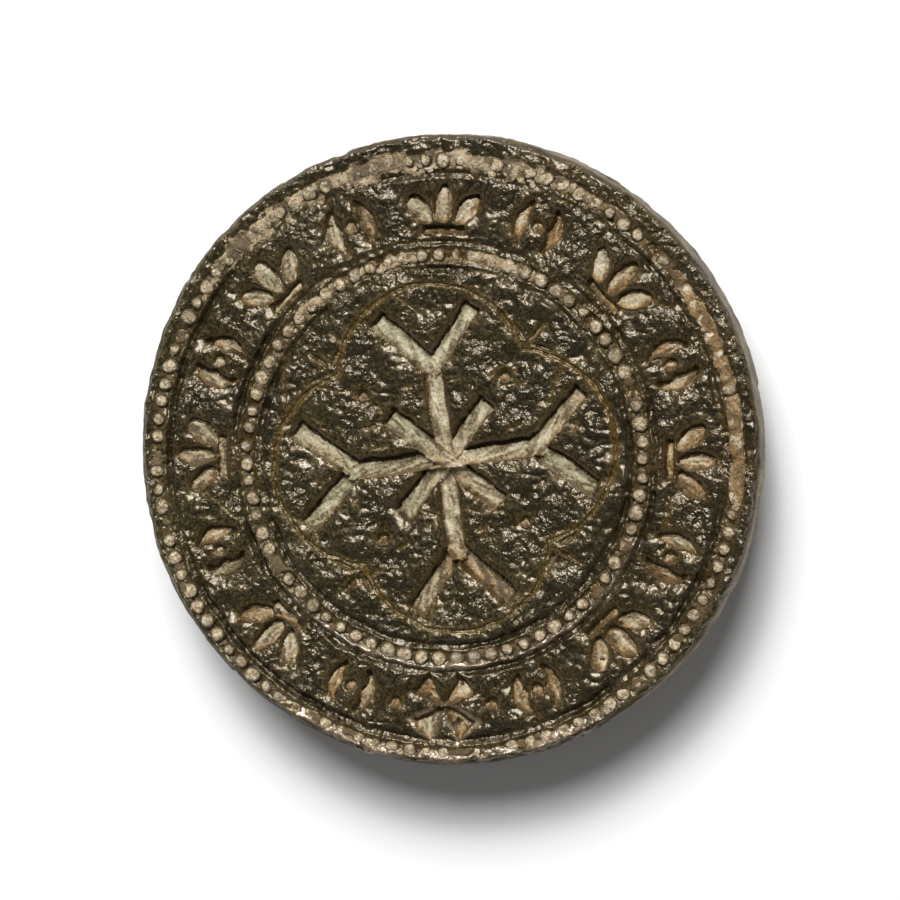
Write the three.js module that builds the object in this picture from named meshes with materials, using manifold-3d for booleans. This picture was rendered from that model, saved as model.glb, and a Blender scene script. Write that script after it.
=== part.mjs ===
// A round medieval seal matrix of copper alloy, with a handle that folds flat on its back.
// It lies face up: the engraved die face looks up (+Z), and the folded handle underneath carries it.
// Everything on the face is cut into the metal, so that it stands up from the wax when it is pressed.
// Units are millimetres. The origin is below the plate's centre, on the surface that the handle rests on.
// The handle turns about X on a riveted pin between two ears, from flat on the back to upright.

import * as THREE from "three";
import { mergeVertices } from "three/addons/utils/BufferGeometryUtils.js";
import Module from "manifold-3d";

const wasm = await Module();
wasm.setup();

// The plate: a cast disc, filed round, with its edges taken off.
const plateDiameter = 30;
const plateThickness = 2.4;
const faceEdgeRound = 0.4;
const backEdgeChamfer = 0.3;

// The engraving, from the plate's edge inwards: a beaded border, a band of ornament between two
// scribed lines, a second beaded border and a third line, and the field with its device.
const beadInset = 1.05;
const beadDiameter = 0.62;
const beadDepth = 0.32;
const beadPitch = 0.84;
const lineWidth = 0.46;
const lineDepth = 0.26;
const lineGap = 0.62;
const bandWidth = 3.2;
const bandMargin = 0.08;
const engravingShiftX = -0.12;
const engravingShiftY = -0.32;
const placeCount = 16;

// The cuts of the ornament in the band.
const leafWidth = 1.05;
const leafDepth = 0.62;
const sideLeafLean = 0.7;
const footBarWidth = 0.55;
const crescentWidth = 0.95;
const crescentDepth = 0.6;
const pelletDiameter = 0.8;
const pelletDepth = 0.4;
const crossDepth = 0.6;

// The device in the field: a radiate star with forked arms, in a frame of four thin arcs.
const strokeWidth = 1.05;
const strokeFloorWidth = 0.66;
const strokeDepth = 0.8;
const deviceTurn = 0.14;
const traceryWidth = 0.24;
const traceryDepth = 0.16;
const spandrelLeafLength = 1.1;
const spandrelLeafWidth = 0.36;
const spandrelLeafDepth = 0.22;
const spandrelLeafSpread = 1.24;

// The hinge: a pin riveted through two ears, with the handle's tongue between them.
const hingeOffset = 3.5;
const pinDiameter = 1.6;
const pinHeadDiameter = 2.5;
const pinHeadHeight = 0.55;
const earThickness = 1.5;
const earFootLength = 5.2;
const earEdgeBevel = 0.15;
const tongueWidth = 3.0;
const sideClearance = 0.15;
const runningClearance = 0.12;
const rivetClearance = 0.08;

// The handle: a flat bar that tapers to a collar and ends in a pierced trefoil.
const handleThickness = 3.0;
const handleTipThickness = 2.2;
const handleEdgeBevel = 0.3;
const handleEdgeMargin = 1.5;
const foldGap = 0.2;
const shoulderWidth = 5.2;
const shoulderGap = 0.3;
const neckWidth = 2.8;
const collarWidth = 4.4;
const collarLength = 1.1;
const collarRise = 0.35;
const trefoilLobeRadius = 1.9;
const suspensionHoleDiameter = 2.1;

// How far a cutting shape runs past the surface that it cuts.
const cutOverrun = 0.5;

// Worked out from the sizes above.
const plateRadius = plateDiameter / 2;
const plateBackZ = handleThickness + foldGap;
const plateFaceZ = plateBackZ + plateThickness;
const pinZ = handleThickness / 2;
const outerBeadRadius = plateRadius - beadInset;
const outerLineRadius = outerBeadRadius - lineGap;
const innerLineRadius = outerLineRadius - bandWidth;
const innerBeadRadius = innerLineRadius - lineGap;
const fieldLineRadius = innerBeadRadius - lineGap;
const fieldRadius = fieldLineRadius - lineWidth / 2;
const bandRadius = (outerLineRadius + innerLineRadius) / 2;
const motifHeight = bandWidth - lineWidth - 2 * bandMargin;

// Smoothness: how many sides stand for a circle.
const plateSides = 96;
const beadSides = 8;
const roundSides = 24;

// A closed solid from any three.js geometry, through its merged positions.
function solidOf(geometry) {
  const bare = geometry.clone();
  bare.deleteAttribute("normal");
  bare.deleteAttribute("uv");
  const merged = mergeVertices(bare);
  return new wasm.Manifold(
    new wasm.Mesh({
      numProp: 3,
      vertProperties: merged.attributes.position.array,
      triVerts: new Uint32Array(merged.index.array),
    }),
  );
}

// A three.js geometry from a solid.
function geometryOf(solid) {
  const mesh = solid.getMesh();
  const geometry = new THREE.BufferGeometry();
  geometry.setAttribute("position", new THREE.BufferAttribute(mesh.vertProperties, 3));
  geometry.setIndex(new THREE.BufferAttribute(mesh.triVerts, 1));
  const faceted = geometry.toNonIndexed();
  faceted.computeVertexNormals();
  return faceted;
}

// A skin over rings of points with the same count, from the highest ring to the lowest, with flat ends.
// Each ring runs anticlockwise when it is seen from above.
function loft(rings) {
  const count = rings[0].length;
  const positions = rings.flat(2);
  const triangles = [];
  for (let level = 0; level + 1 < rings.length; level++) {
    for (let i = 0; i < count; i++) {
      const next = (i + 1) % count;
      const upper = level * count;
      const lower = upper + count;
      triangles.push(lower + i, lower + next, upper + next);
      triangles.push(lower + i, upper + next, upper + i);
    }
  }
  const flat = (ring) => ring.map(([x, y]) => new THREE.Vector2(x, y));
  for (const [a, b, c] of THREE.ShapeUtils.triangulateShape(flat(rings[0]), [])) {
    triangles.push(a, b, c);
  }
  const last = (rings.length - 1) * count;
  for (const [a, b, c] of THREE.ShapeUtils.triangulateShape(flat(rings.at(-1)), [])) {
    triangles.push(last + a, last + c, last + b);
  }
  const geometry = new THREE.BufferGeometry();
  geometry.setAttribute("position", new THREE.Float32BufferAttribute(positions, 3));
  geometry.setIndex(triangles);
  return geometry;
}

// A graver's cut: the mouth outline at the face, with walls that slope in to a smaller floor outline.
function cut(mouth, floor, depth) {
  const at = (outline, z) => outline.map(([x, y]) => [x, y, z]);
  return loft([at(mouth, cutOverrun), at(mouth, 0), at(floor, -depth)]);
}

// Outlines, anticlockwise, each centred on its own origin with its length along Y.
function leafOutline(length, width) {
  const halfSteps = 4;
  const outline = [];
  for (let i = -halfSteps; i < halfSteps; i++) {
    const along = (length / 2) * Math.sin(((i / halfSteps) * Math.PI) / 2);
    const across = (width / 2) * Math.cos(((i / halfSteps) * Math.PI) / 2);
    outline.push([across, along]);
  }
  return [...outline, ...outline.map(([x, y]) => [-x, -y])];
}

function barOutline(length, width) {
  const x = width / 2;
  const y = length / 2;
  return [[x, -y], [x, y], [-x, y], [-x, -y]];
}

// A crescent that bulges towards +X, of the given outer radius, widest in its middle. Its tips keep
// this share of that width.
const tipShare = 0.25;
function crescentOutline(radius, width, halfAngle) {
  const steps = 6;
  const outer = [];
  const inner = [];
  for (let i = 0; i <= steps; i++) {
    const angle = halfAngle * ((2 * i) / steps - 1);
    const share = Math.cos((angle / halfAngle) * (Math.PI / 2));
    const thickness = width * (tipShare + (1 - tipShare) * share);
    outer.push([radius * Math.cos(angle), radius * Math.sin(angle)]);
    inner.push([(radius - thickness) * Math.cos(angle), (radius - thickness) * Math.sin(angle)]);
  }
  return [...outer, ...inner.reverse()];
}

// One arm of a cross that flares from its root at the centre to its outer end, along +Y.
function flaredArmOutline(length, rootWidth, endWidth) {
  return [[rootWidth / 2, 0], [endWidth / 2, length], [-endWidth / 2, length], [-rootWidth / 2, 0]];
}

// A pit pressed by a round punch: a cone that is as wide as the punch at the face.
function pit(diameter, depth, sides) {
  const grow = (depth + cutOverrun) / depth;
  return new THREE.ConeGeometry((diameter / 2) * grow, depth + cutOverrun, sides)
    .rotateX(-Math.PI / 2)
    .translate(0, 0, (depth + cutOverrun) / 2 - depth);
}

// A line scribed with compasses: a ring with a V section.
function scribedLine(radius) {
  const half = lineWidth / 2;
  const profile = [
    new THREE.Vector2(radius, -lineDepth),
    new THREE.Vector2(radius + half, 0),
    new THREE.Vector2(radius + half, cutOverrun),
    new THREE.Vector2(radius - half, cutOverrun),
    new THREE.Vector2(radius - half, 0),
    new THREE.Vector2(radius, -lineDepth),
  ];
  return new THREE.LatheGeometry(profile, plateSides).rotateX(Math.PI / 2);
}

// A ring of punched beads, as many as the pitch allows.
function beadedBorder(radius) {
  const count = Math.round((2 * Math.PI * radius) / beadPitch);
  const beads = [];
  for (let i = 0; i < count; i++) {
    const angle = (2 * Math.PI * i) / count;
    const bead = pit(beadDiameter, beadDepth, beadSides);
    beads.push(bead.rotateZ(angle).translate(radius * Math.cos(angle), radius * Math.sin(angle), 0));
  }
  return beads;
}

// A sprig of three leaves on a short foot bar, as tall as the band allows, pointing along +Y.
function sprig() {
  const floorShare = 0.4;
  const sideShare = 0.72;
  const sideLength = sideShare * motifHeight;
  const leaf = (length) =>
    cut(leafOutline(length, leafWidth), leafOutline(floorShare * length, floorShare * leafWidth), leafDepth);
  const footWidth = 2 * leafWidth;
  const foot = cut(
    barOutline(footBarWidth, footWidth),
    barOutline(floorShare * footBarWidth, (1 - floorShare / 2) * footWidth),
    leafDepth * sideShare,
  ).translate(0, (footBarWidth - motifHeight) / 2, 0);
  const middle = leaf(motifHeight - footBarWidth).translate(0, footBarWidth / 2, 0);
  const sides = [-1, 1].map((side) =>
    leaf(sideLength)
      .translate(0, sideLength / 2, 0)
      .rotateZ(-side * sideLeafLean)
      .translate(side * (leafWidth / 2), footBarWidth - motifHeight / 2, 0),
  );
  return [foot, middle, ...sides];
}

// A roundel: two crescents that face each other round a pellet.
function roundel() {
  const radius = motifHeight / 2;
  const halfAngle = 1.15;
  const floorShare = 0.45;
  const inset = ((1 - floorShare) * crescentWidth) / 2;
  const crescent = () =>
    cut(
      crescentOutline(radius, crescentWidth, halfAngle),
      crescentOutline(radius - inset, crescentWidth * floorShare, halfAngle * (1 - floorShare / 2)),
      crescentDepth,
    );
  return [crescent(), crescent().rotateZ(Math.PI), pit(pelletDiameter, pelletDepth, roundSides / 2)];
}

// The cross that marks the start of the band: four arms that flare outwards, set as a saltire.
function startingCross() {
  const floorShare = 0.55;
  const reachShare = 0.92;
  const flareShare = 1.4;
  const floorLengthShare = 0.88;
  const centreDepthShare = 1.1;
  const armLength = reachShare * (motifHeight / 2) * Math.SQRT2;
  const armEndWidth = flareShare * leafWidth;
  const rootWidth = strokeFloorWidth / 2;
  const arms = [];
  for (let i = 0; i < 4; i++) {
    arms.push(
      cut(
        flaredArmOutline(armLength, rootWidth, armEndWidth),
        flaredArmOutline(floorLengthShare * armLength, floorShare * rootWidth, floorShare * armEndWidth),
        crossDepth,
      ).rotateZ(Math.PI / 4 + (i * Math.PI) / 2),
    );
  }
  return [...arms, pit(pelletDiameter, centreDepthShare * crossDepth, roundSides / 2)];
}

// The ornament round the band. The cross stands at the bottom, with a pellet on each side, and
// sprigs and roundels follow each other through the other places.
function bandOrnament() {
  const placed = [];
  for (let place = 0; place < placeCount; place++) {
    const angle = -Math.PI / 2 + (2 * Math.PI * place) / placeCount;
    const motif = place === 0 ? startingCross() : place % 2 ? roundel() : sprig();
    for (const piece of motif) {
      piece.rotateZ(angle - Math.PI / 2);
      placed.push(piece.translate(bandRadius * Math.cos(angle), bandRadius * Math.sin(angle), 0));
    }
  }
  const step = Math.PI / placeCount;
  for (const side of [-1, 1]) {
    const angle = -Math.PI / 2 + side * step;
    const pellet = pit(pelletDiameter, pelletDepth, roundSides / 2);
    placed.push(pellet.translate(bandRadius * Math.cos(angle), bandRadius * Math.sin(angle), 0));
  }
  return placed;
}

// A straight stroke of the device, between two points given as a radius and an angle.
function stroke(startRadius, startAngle, endRadius, endAngle) {
  const start = new THREE.Vector2(startRadius, 0).rotateAround(new THREE.Vector2(), startAngle);
  const end = new THREE.Vector2(endRadius, 0).rotateAround(new THREE.Vector2(), endAngle);
  const length = start.distanceTo(end) + strokeWidth;
  const slope = strokeWidth - strokeFloorWidth;
  const direction = end.clone().sub(start).angle();
  return cut(
    barOutline(length, strokeWidth),
    barOutline(length - slope, strokeFloorWidth),
    strokeDepth,
  )
    .rotateZ(direction - Math.PI / 2)
    .translate((start.x + end.x) / 2, (start.y + end.y) / 2, 0);
}

// The device: four long arms with forked ends, and four short arms that end in a pellet.
function device() {
  const forkShare = 0.5;
  const tipShareOfField = 0.8;
  const forkSpread = 0.3;
  const shortArmShare = 0.34;
  const pelletShare = 0.56;
  const placed = [];
  for (let i = 0; i < 4; i++) {
    const angle = deviceTurn + (i * Math.PI) / 2;
    const between = angle + Math.PI / 4;
    placed.push(stroke(0, angle, forkShare * fieldRadius, angle));
    for (const side of [-1, 1]) {
      const tipAngle = angle + side * forkSpread;
      placed.push(stroke(forkShare * fieldRadius, angle, tipShareOfField * fieldRadius, tipAngle));
    }
    placed.push(stroke(0, between, shortArmShare * fieldRadius, between));
    const pellet = pit(pelletDiameter, pelletDepth, roundSides / 2);
    const pelletRadius = pelletShare * fieldRadius;
    placed.push(pellet.translate(pelletRadius * Math.cos(between), pelletRadius * Math.sin(between), 0));
  }
  return placed;
}

// The frame round the device: four thin arcs that meet in points between the long arms.
function tracery() {
  const lobeCentreShare = 0.42;
  const lobeRadiusShare = 0.53;
  const lobeCentre = lobeCentreShare * fieldRadius;
  const lobeRadius = lobeRadiusShare * fieldRadius;
  const cuspRadius =
    lobeCentre * Math.SQRT1_2 + Math.sqrt(lobeRadius ** 2 - (lobeCentre * Math.SQRT1_2) ** 2);
  const reach = Math.atan2(cuspRadius * Math.SQRT1_2, cuspRadius * Math.SQRT1_2 - lobeCentre);
  const steps = 14;
  const arc = (width) => {
    const outer = [];
    const inner = [];
    for (let i = 0; i <= steps; i++) {
      const angle = reach * ((2 * i) / steps - 1);
      outer.push([(lobeRadius + width / 2) * Math.cos(angle), (lobeRadius + width / 2) * Math.sin(angle)]);
      inner.push([(lobeRadius - width / 2) * Math.cos(angle), (lobeRadius - width / 2) * Math.sin(angle)]);
    }
    return [...outer, ...inner.reverse()];
  };
  const placed = [];
  for (let i = 0; i < 4; i++) {
    const lobe = cut(arc(traceryWidth), arc(traceryWidth * tipShare), traceryDepth);
    placed.push(lobe.translate(lobeCentre, 0, 0).rotateZ(deviceTurn + (i * Math.PI) / 2));
  }
  return placed;
}

// Small leaves outside the frame: three that spread from each of its inner points towards the border.
function spandrelLeaves() {
  const floorShare = 0.3;
  const rootShare = 0.78;
  const placed = [];
  for (let i = 0; i < 4; i++) {
    const between = deviceTurn + Math.PI / 4 + (i * Math.PI) / 2;
    for (const side of [-1, 0, 1]) {
      const leaf = cut(
        leafOutline(spandrelLeafLength, spandrelLeafWidth),
        leafOutline(floorShare * spandrelLeafLength, floorShare * spandrelLeafWidth),
        spandrelLeafDepth,
      );
      leaf.translate(0, spandrelLeafLength / 2 + spandrelLeafWidth / 2, 0);
      leaf.rotateZ(side * spandrelLeafSpread);
      leaf.translate(0, rootShare * fieldRadius, 0);
      placed.push(leaf.rotateZ(between - Math.PI / 2));
    }
  }
  return placed;
}

// The plate's blank, revolved: a flat back, a chamfer, the wall, a rounded front edge and a flat face.
function plateBlank() {
  const roundSteps = 3;
  const profile = [
    new THREE.Vector2(0, 0),
    new THREE.Vector2(plateRadius - backEdgeChamfer, 0),
    new THREE.Vector2(plateRadius, backEdgeChamfer),
  ];
  for (let i = 0; i <= roundSteps; i++) {
    const angle = ((i / roundSteps) * Math.PI) / 2;
    profile.push(
      new THREE.Vector2(
        plateRadius - faceEdgeRound * (1 - Math.cos(angle)),
        plateThickness - faceEdgeRound * (1 - Math.sin(angle)),
      ),
    );
  }
  profile.push(new THREE.Vector2(0, plateThickness));
  return new THREE.LatheGeometry(profile, plateSides).rotateX(Math.PI / 2);
}

function diePlate() {
  const cuts = [
    ...[outerLineRadius, innerLineRadius, fieldLineRadius].map(scribedLine),
    ...beadedBorder(outerBeadRadius),
    ...beadedBorder(innerBeadRadius),
    ...bandOrnament(),
    ...device(),
    ...tracery(),
    ...spandrelLeaves(),
  ].map((piece) => solidOf(piece.translate(engravingShiftX, engravingShiftY, plateThickness)));
  return geometryOf(solidOf(plateBlank()).subtract(wasm.Manifold.union(cuts)));
}

// Turns an outline drawn in the plane of Y and Z, and extruded, so that its thickness lies along X.
function alongX(geometry) {
  const turn = new THREE.Matrix4().makeBasis(
    new THREE.Vector3(0, 1, 0),
    new THREE.Vector3(0, 0, 1),
    new THREE.Vector3(1, 0, 0),
  );
  return geometry.applyMatrix4(turn);
}

// An ear, about the pin's axis: a foot against the plate's back that narrows to a round end.
function hingeEar() {
  const footZ = plateBackZ - pinZ;
  const bevel = earEdgeBevel;
  const endRadius = pinZ - bevel;
  const half = earFootLength / 2 - bevel;
  const footTop = footZ - bevel;
  const shape = new THREE.Shape();
  shape.moveTo(half, footTop);
  shape.lineTo(-half, footTop);
  shape.lineTo(-endRadius, 0);
  shape.absarc(0, 0, endRadius, Math.PI, 2 * Math.PI, false);
  shape.closePath();
  const hole = new THREE.Path();
  hole.absarc(0, 0, pinDiameter / 2 + rivetClearance + bevel, 0, 2 * Math.PI, true);
  shape.holes.push(hole);
  const body = new THREE.ExtrudeGeometry(shape, {
    depth: earThickness - 2 * bevel,
    bevelThickness: bevel,
    bevelSize: bevel,
    bevelSegments: 1,
    curveSegments: roundSides / 2,
  });
  return alongX(body.translate(0, 0, bevel - earThickness / 2));
}

// The pin: a shank through both ears, with a domed head hammered over at each end.
function hingePin() {
  const shankHalf = tongueWidth / 2 + sideClearance + earThickness + rivetClearance;
  const headRadius = pinHeadDiameter / 2;
  const domeSteps = 4;
  const dome = [];
  for (let i = 0; i <= domeSteps; i++) {
    const angle = ((i / domeSteps) * Math.PI) / 2;
    dome.push([headRadius * Math.cos(angle), shankHalf + pinHeadHeight * Math.sin(angle)]);
  }
  const upper = [[pinDiameter / 2, shankHalf], ...dome];
  const lower = upper.map(([radius, along]) => [radius, -along]).reverse();
  const profile = [...lower, ...upper].map(([radius, along]) => new THREE.Vector2(radius, along));
  profile[0].x = 0;
  profile.at(-1).x = 0;
  return new THREE.LatheGeometry(profile, roundSides).rotateZ(-Math.PI / 2);
}

// The handle in plan, about the pin's axis and pointing along -Y: tongue, shoulders, taper, collar
// and a trefoil of three equal lobes.
function handlePlan(reach, inset) {
  const lobe = trefoilLobeRadius;
  const small = lobe - inset;
  const centreY = -reach + 2 * lobe;
  const tongue = tongueWidth / 2 - inset;
  const shoulder = shoulderWidth / 2 - inset;
  const neck = neckWidth / 2 - inset;
  const collar = collarWidth / 2 - inset;
  const heelY = handleThickness / 2 - inset;
  const shoulderY = -(earFootLength / 2 + shoulderGap) - inset;
  const joinAngle = Math.acos((neck - lobe) / small);
  const collarEnd = centreY + lobe + inset;
  const collarStart = collarEnd + collarLength - 2 * inset;
  const notchAngle = Math.acos(lobe / Math.SQRT2 / small) - Math.PI / 4;
  const shape = new THREE.Shape();
  shape.moveTo(tongue, heelY);
  shape.lineTo(-tongue, heelY);
  shape.lineTo(-tongue, shoulderY);
  shape.lineTo(-shoulder, shoulderY);
  shape.quadraticCurveTo(-neck, (shoulderY + collarStart) / 2, -neck, collarStart);
  shape.lineTo(-collar, collarStart);
  shape.lineTo(-collar, collarEnd);
  shape.lineTo(-neck, collarEnd);
  shape.absarc(-lobe, centreY, small, Math.PI - joinAngle, 1.5 * Math.PI - notchAngle, false);
  shape.absarc(0, centreY - lobe, small, Math.PI + notchAngle, 2 * Math.PI - notchAngle, false);
  shape.absarc(lobe, centreY, small, -Math.PI / 2 + notchAngle, joinAngle, false);
  shape.lineTo(neck, collarEnd);
  shape.lineTo(collar, collarEnd);
  shape.lineTo(collar, collarStart);
  shape.lineTo(neck, collarStart);
  shape.quadraticCurveTo(neck, (shoulderY + collarStart) / 2, shoulder, shoulderY);
  shape.lineTo(tongue, shoulderY);
  shape.closePath();
  const hole = new THREE.Path();
  hole.absarc(0, centreY, suspensionHoleDiameter / 2 + inset, 0, 2 * Math.PI, true);
  shape.holes.push(hole);
  return { shape, collarStart: collarStart + inset, collarEnd: collarEnd - inset };
}

// The handle from the side: a flat underside, a heel that is round towards the plate and square on
// the other side, so that it stops against the plate when the handle is upright, and a thinner end.
function handleSide(reach, collarStart, collarEnd) {
  const half = handleThickness / 2;
  const shoulderY = -(earFootLength / 2 + shoulderGap);
  const thinTop = handleTipThickness - half;
  const shape = new THREE.Shape();
  shape.moveTo(half, -half);
  shape.lineTo(half, 0);
  shape.absarc(0, 0, half, 0, Math.PI / 2, false);
  shape.lineTo(shoulderY, half);
  shape.lineTo(collarStart, thinTop);
  shape.lineTo(collarStart, thinTop + collarRise);
  shape.lineTo(collarEnd, thinTop + collarRise);
  shape.lineTo(collarEnd, thinTop);
  shape.lineTo(-reach - cutOverrun, thinTop);
  shape.lineTo(-reach - cutOverrun, -half);
  shape.closePath();
  const width = Math.max(shoulderWidth, collarWidth, 4 * trefoilLobeRadius) + 2 * cutOverrun;
  const body = new THREE.ExtrudeGeometry(shape, {
    depth: width,
    bevelEnabled: false,
    curveSegments: roundSides / 4,
  });
  return alongX(body.translate(0, 0, -width / 2));
}

function handleBody() {
  const reach = plateRadius - handleEdgeMargin + hingeOffset;
  const bevel = handleEdgeBevel;
  const { shape, collarStart, collarEnd } = handlePlan(reach, bevel);
  const plan = new THREE.ExtrudeGeometry(shape, {
    depth: handleThickness - 2 * bevel,
    bevelThickness: bevel,
    bevelSize: bevel,
    bevelSegments: 2,
    curveSegments: roundSides / 3,
  }).translate(0, 0, bevel - handleThickness / 2);
  const pinHole = new THREE.CylinderGeometry(
    pinDiameter / 2 + runningClearance,
    pinDiameter / 2 + runningClearance,
    tongueWidth + 2 * cutOverrun,
    roundSides,
  ).rotateZ(Math.PI / 2);
  const body = solidOf(plan)
    .intersect(solidOf(handleSide(reach, collarStart, collarEnd)))
    .subtract(solidOf(pinHole));
  return geometryOf(body);
}

// Finishes: a dark waxed patina on the alloy, and rusted iron for the pin.
const patina = new THREE.MeshStandardMaterial({ color: "#37332a", roughness: 0.45, metalness: 0.6 });
const wornPatina = new THREE.MeshStandardMaterial({ color: "#4a4233", roughness: 0.5, metalness: 0.6 });
const rust = new THREE.MeshStandardMaterial({ color: "#4b3426", roughness: 0.8, metalness: 0.3 });

function piece(name, geometry, material, x, y, z) {
  const mesh = new THREE.Mesh(geometry, material);
  mesh.name = name;
  mesh.position.set(x, y, z);
  return mesh;
}

const earX = tongueWidth / 2 + sideClearance + earThickness / 2;
const sealMatrix = new THREE.Group();
sealMatrix.add(piece("die_plate", diePlate(), patina, 0, 0, plateBackZ));
sealMatrix.add(piece("hinge_ear_left", hingeEar(), wornPatina, -earX, hingeOffset, pinZ));
sealMatrix.add(piece("hinge_ear_right", hingeEar(), wornPatina, earX, hingeOffset, pinZ));
sealMatrix.add(piece("hinge_pin", hingePin(), rust, 0, hingeOffset, pinZ));

// The handle hangs in a group on the pin's axis, which is the one thing that turns it.
const handlePivot = new THREE.Group();
handlePivot.position.set(0, hingeOffset, pinZ);
handlePivot.add(piece("handle", handleBody(), wornPatina, 0, 0, 0));
sealMatrix.add(handlePivot);

export default sealMatrix;
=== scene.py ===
# %% [markdown]
# # A bronze hand seal from the ground
#
# The object is a round seal matrix: a bronze disc, engraved in reverse, with a handle that folds flat on
# its back. It lay in the soil for centuries, so its face is dark and grainy, and pale soil still sits in
# the cuts.
#
# The construction comes from a CAD model in real sizes. This script keeps every piece where the CAD model
# has it and gives it its surface: the roughened metal, the soil, the wear and the light.

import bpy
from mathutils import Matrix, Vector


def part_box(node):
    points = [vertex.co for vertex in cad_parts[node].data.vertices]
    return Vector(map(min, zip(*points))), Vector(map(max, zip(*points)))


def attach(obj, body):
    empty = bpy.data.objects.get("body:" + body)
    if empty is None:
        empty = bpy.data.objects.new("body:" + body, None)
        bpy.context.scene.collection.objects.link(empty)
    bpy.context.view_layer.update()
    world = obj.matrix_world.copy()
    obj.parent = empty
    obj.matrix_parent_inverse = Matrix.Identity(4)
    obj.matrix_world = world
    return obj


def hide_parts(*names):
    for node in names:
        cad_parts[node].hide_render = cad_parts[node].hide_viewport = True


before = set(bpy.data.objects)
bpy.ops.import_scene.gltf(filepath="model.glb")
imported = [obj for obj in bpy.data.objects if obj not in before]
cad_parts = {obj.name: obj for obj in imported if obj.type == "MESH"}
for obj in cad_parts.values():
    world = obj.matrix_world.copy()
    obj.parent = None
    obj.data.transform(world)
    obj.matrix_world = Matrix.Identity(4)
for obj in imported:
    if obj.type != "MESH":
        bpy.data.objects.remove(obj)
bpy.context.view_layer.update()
print("CAD pieces:", sorted(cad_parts))

# %% [markdown]
# ## Units and a few helpers
#
# Blender works in metres here, and a seal is easier to think about in millimetres. All the sizes below are
# in millimetres, and a mesh is brought to metres once, when it is made. Colours are written as they are
# seen on a screen, so one function turns them to the linear values that light uses. Materials and geometry
# trees are made of nodes, so one function adds a node with its settings and its links.

# %% Helpers
import itertools
import math
from types import SimpleNamespace

import bpy
import numpy as np
from mathutils import Matrix, Vector

MM = 0.001


def linear(hex_colour):
    """A colour such as '#b79f7c' as linear red, green, blue and alpha."""
    values = [int(hex_colour[i : i + 2], 16) / 255 for i in (1, 3, 5)]
    return [v / 12.92 if v <= 0.04045 else ((v + 0.055) / 1.055) ** 2.4 for v in values] + [1.0]


def add_object(name, data):
    """A new object in the scene."""
    made = bpy.data.objects.new(name, data)
    bpy.context.scene.collection.objects.link(made)
    return made


def node(tree, kind, inputs=None, stops=(), **settings):
    """Adds a node. inputs gives each socket a value, or the node or output that it is linked to, and a node
    stands for its first output in use. stops are a colour ramp's places, with a colour or grey value each."""
    made = tree.nodes.new(kind)
    for name, value in settings.items():
        setattr(made, name, value)
    for key, value in (inputs or {}).items():
        if isinstance(value, bpy.types.Node):
            value = next(output for output in value.outputs if output.enabled)
        if isinstance(value, bpy.types.NodeSocket):
            tree.links.new(value, made.inputs[key])
        else:
            made.inputs[key].default_value = value
    points = made.color_ramp.elements if stops else ()
    while len(points) < len(stops):
        points.new(0.5)
    for point, (place, colour) in zip(points, stops):
        point.position = place
        point.color = linear(colour) if isinstance(colour, str) else (colour, colour, colour, 1)
    return made


def towards(azimuth, height):
    """A unit vector towards a compass angle and a height above the floor, in degrees."""
    azimuth, height = math.radians(azimuth), math.radians(height)
    flat = math.cos(height)
    return Vector((flat * math.cos(azimuth), flat * math.sin(azimuth), math.sin(height)))


plate_low, plate_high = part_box("die_plate")
PLATE_RADIUS = (plate_high.x - plate_low.x) / 2 / MM
PLATE_BACK = plate_low.z / MM
PLATE_FACE = plate_high.z / MM
print(f"the plate is {2 * PLATE_RADIUS:.1f} mm across and {PLATE_FACE - PLATE_BACK:.1f} mm thick")

# %% [markdown]
# ## The camera
#
# The photographer looked almost straight down, and the plate's side shows on the right only. So the camera
# leans 12.5 degrees from the upright, towards the right and slightly up. It could stand upright over a
# tilted plate too, but then the handle wouldn't lie flat on the floor. A long lens keeps the circle free of
# perspective. The frame is 42.2 mm wide at the plate's face, which gives the plate the width that it has in
# the photograph.

# %% Camera
LENS = 180.0
SENSOR = 36.0
FRAME_WIDTH = 42.2
VIEW_TILT = 12.5
VIEW_TURN = 15.0
VIEW_CENTRE = (0.24, 0.04)

scene = bpy.context.scene
view_axis = towards(VIEW_TURN, 90 - VIEW_TILT)
camera = add_object("camera", bpy.data.cameras.new("camera"))
bpy.context.scene.camera = camera
camera.data.lens = LENS
camera.data.sensor_width = SENSOR
camera.data.clip_start = 0.01
camera.data.clip_end = 5.0
camera_distance = LENS * FRAME_WIDTH / SENSOR
right = Vector((0, 1, 0)).cross(view_axis).normalized()
up = view_axis.cross(right)
camera.rotation_euler = Matrix((right, up, view_axis)).transposed().to_euler()
camera.location = (Vector((*VIEW_CENTRE, PLATE_FACE)) + view_axis * camera_distance) * MM
print(f"the camera is {camera_distance:.0f} mm from the face")

# %% [markdown]
# ## Light and floor
#
# The light is a soft lamp high at the top of the picture: the upper walls of the cuts are dark, their lower
# edges glint, and the shadow falls down and to the right. An area lamp would do, but a sun lamp with a wide
# angle lights the floor evenly. A second, small lamp from the same side is weak as light and sharp as a
# reflection, so it picks out the crystals. The floor is white paper. The room is white around the table, up
# to a little above the horizon, and its ceiling is dim. So the cuts stay dark, and it is the lamp alone
# that glints in the metal. Every ray sees the same room.

# %% Lamps
KEY_AZIMUTH = 93.0
KEY_HEIGHT = 53.0
KEY_ANGLE = 33.0
KEY_STRENGTH = 3.45
SPARK_ANGLE = 9.0
SPARK_STRENGTH = 0.45

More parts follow.
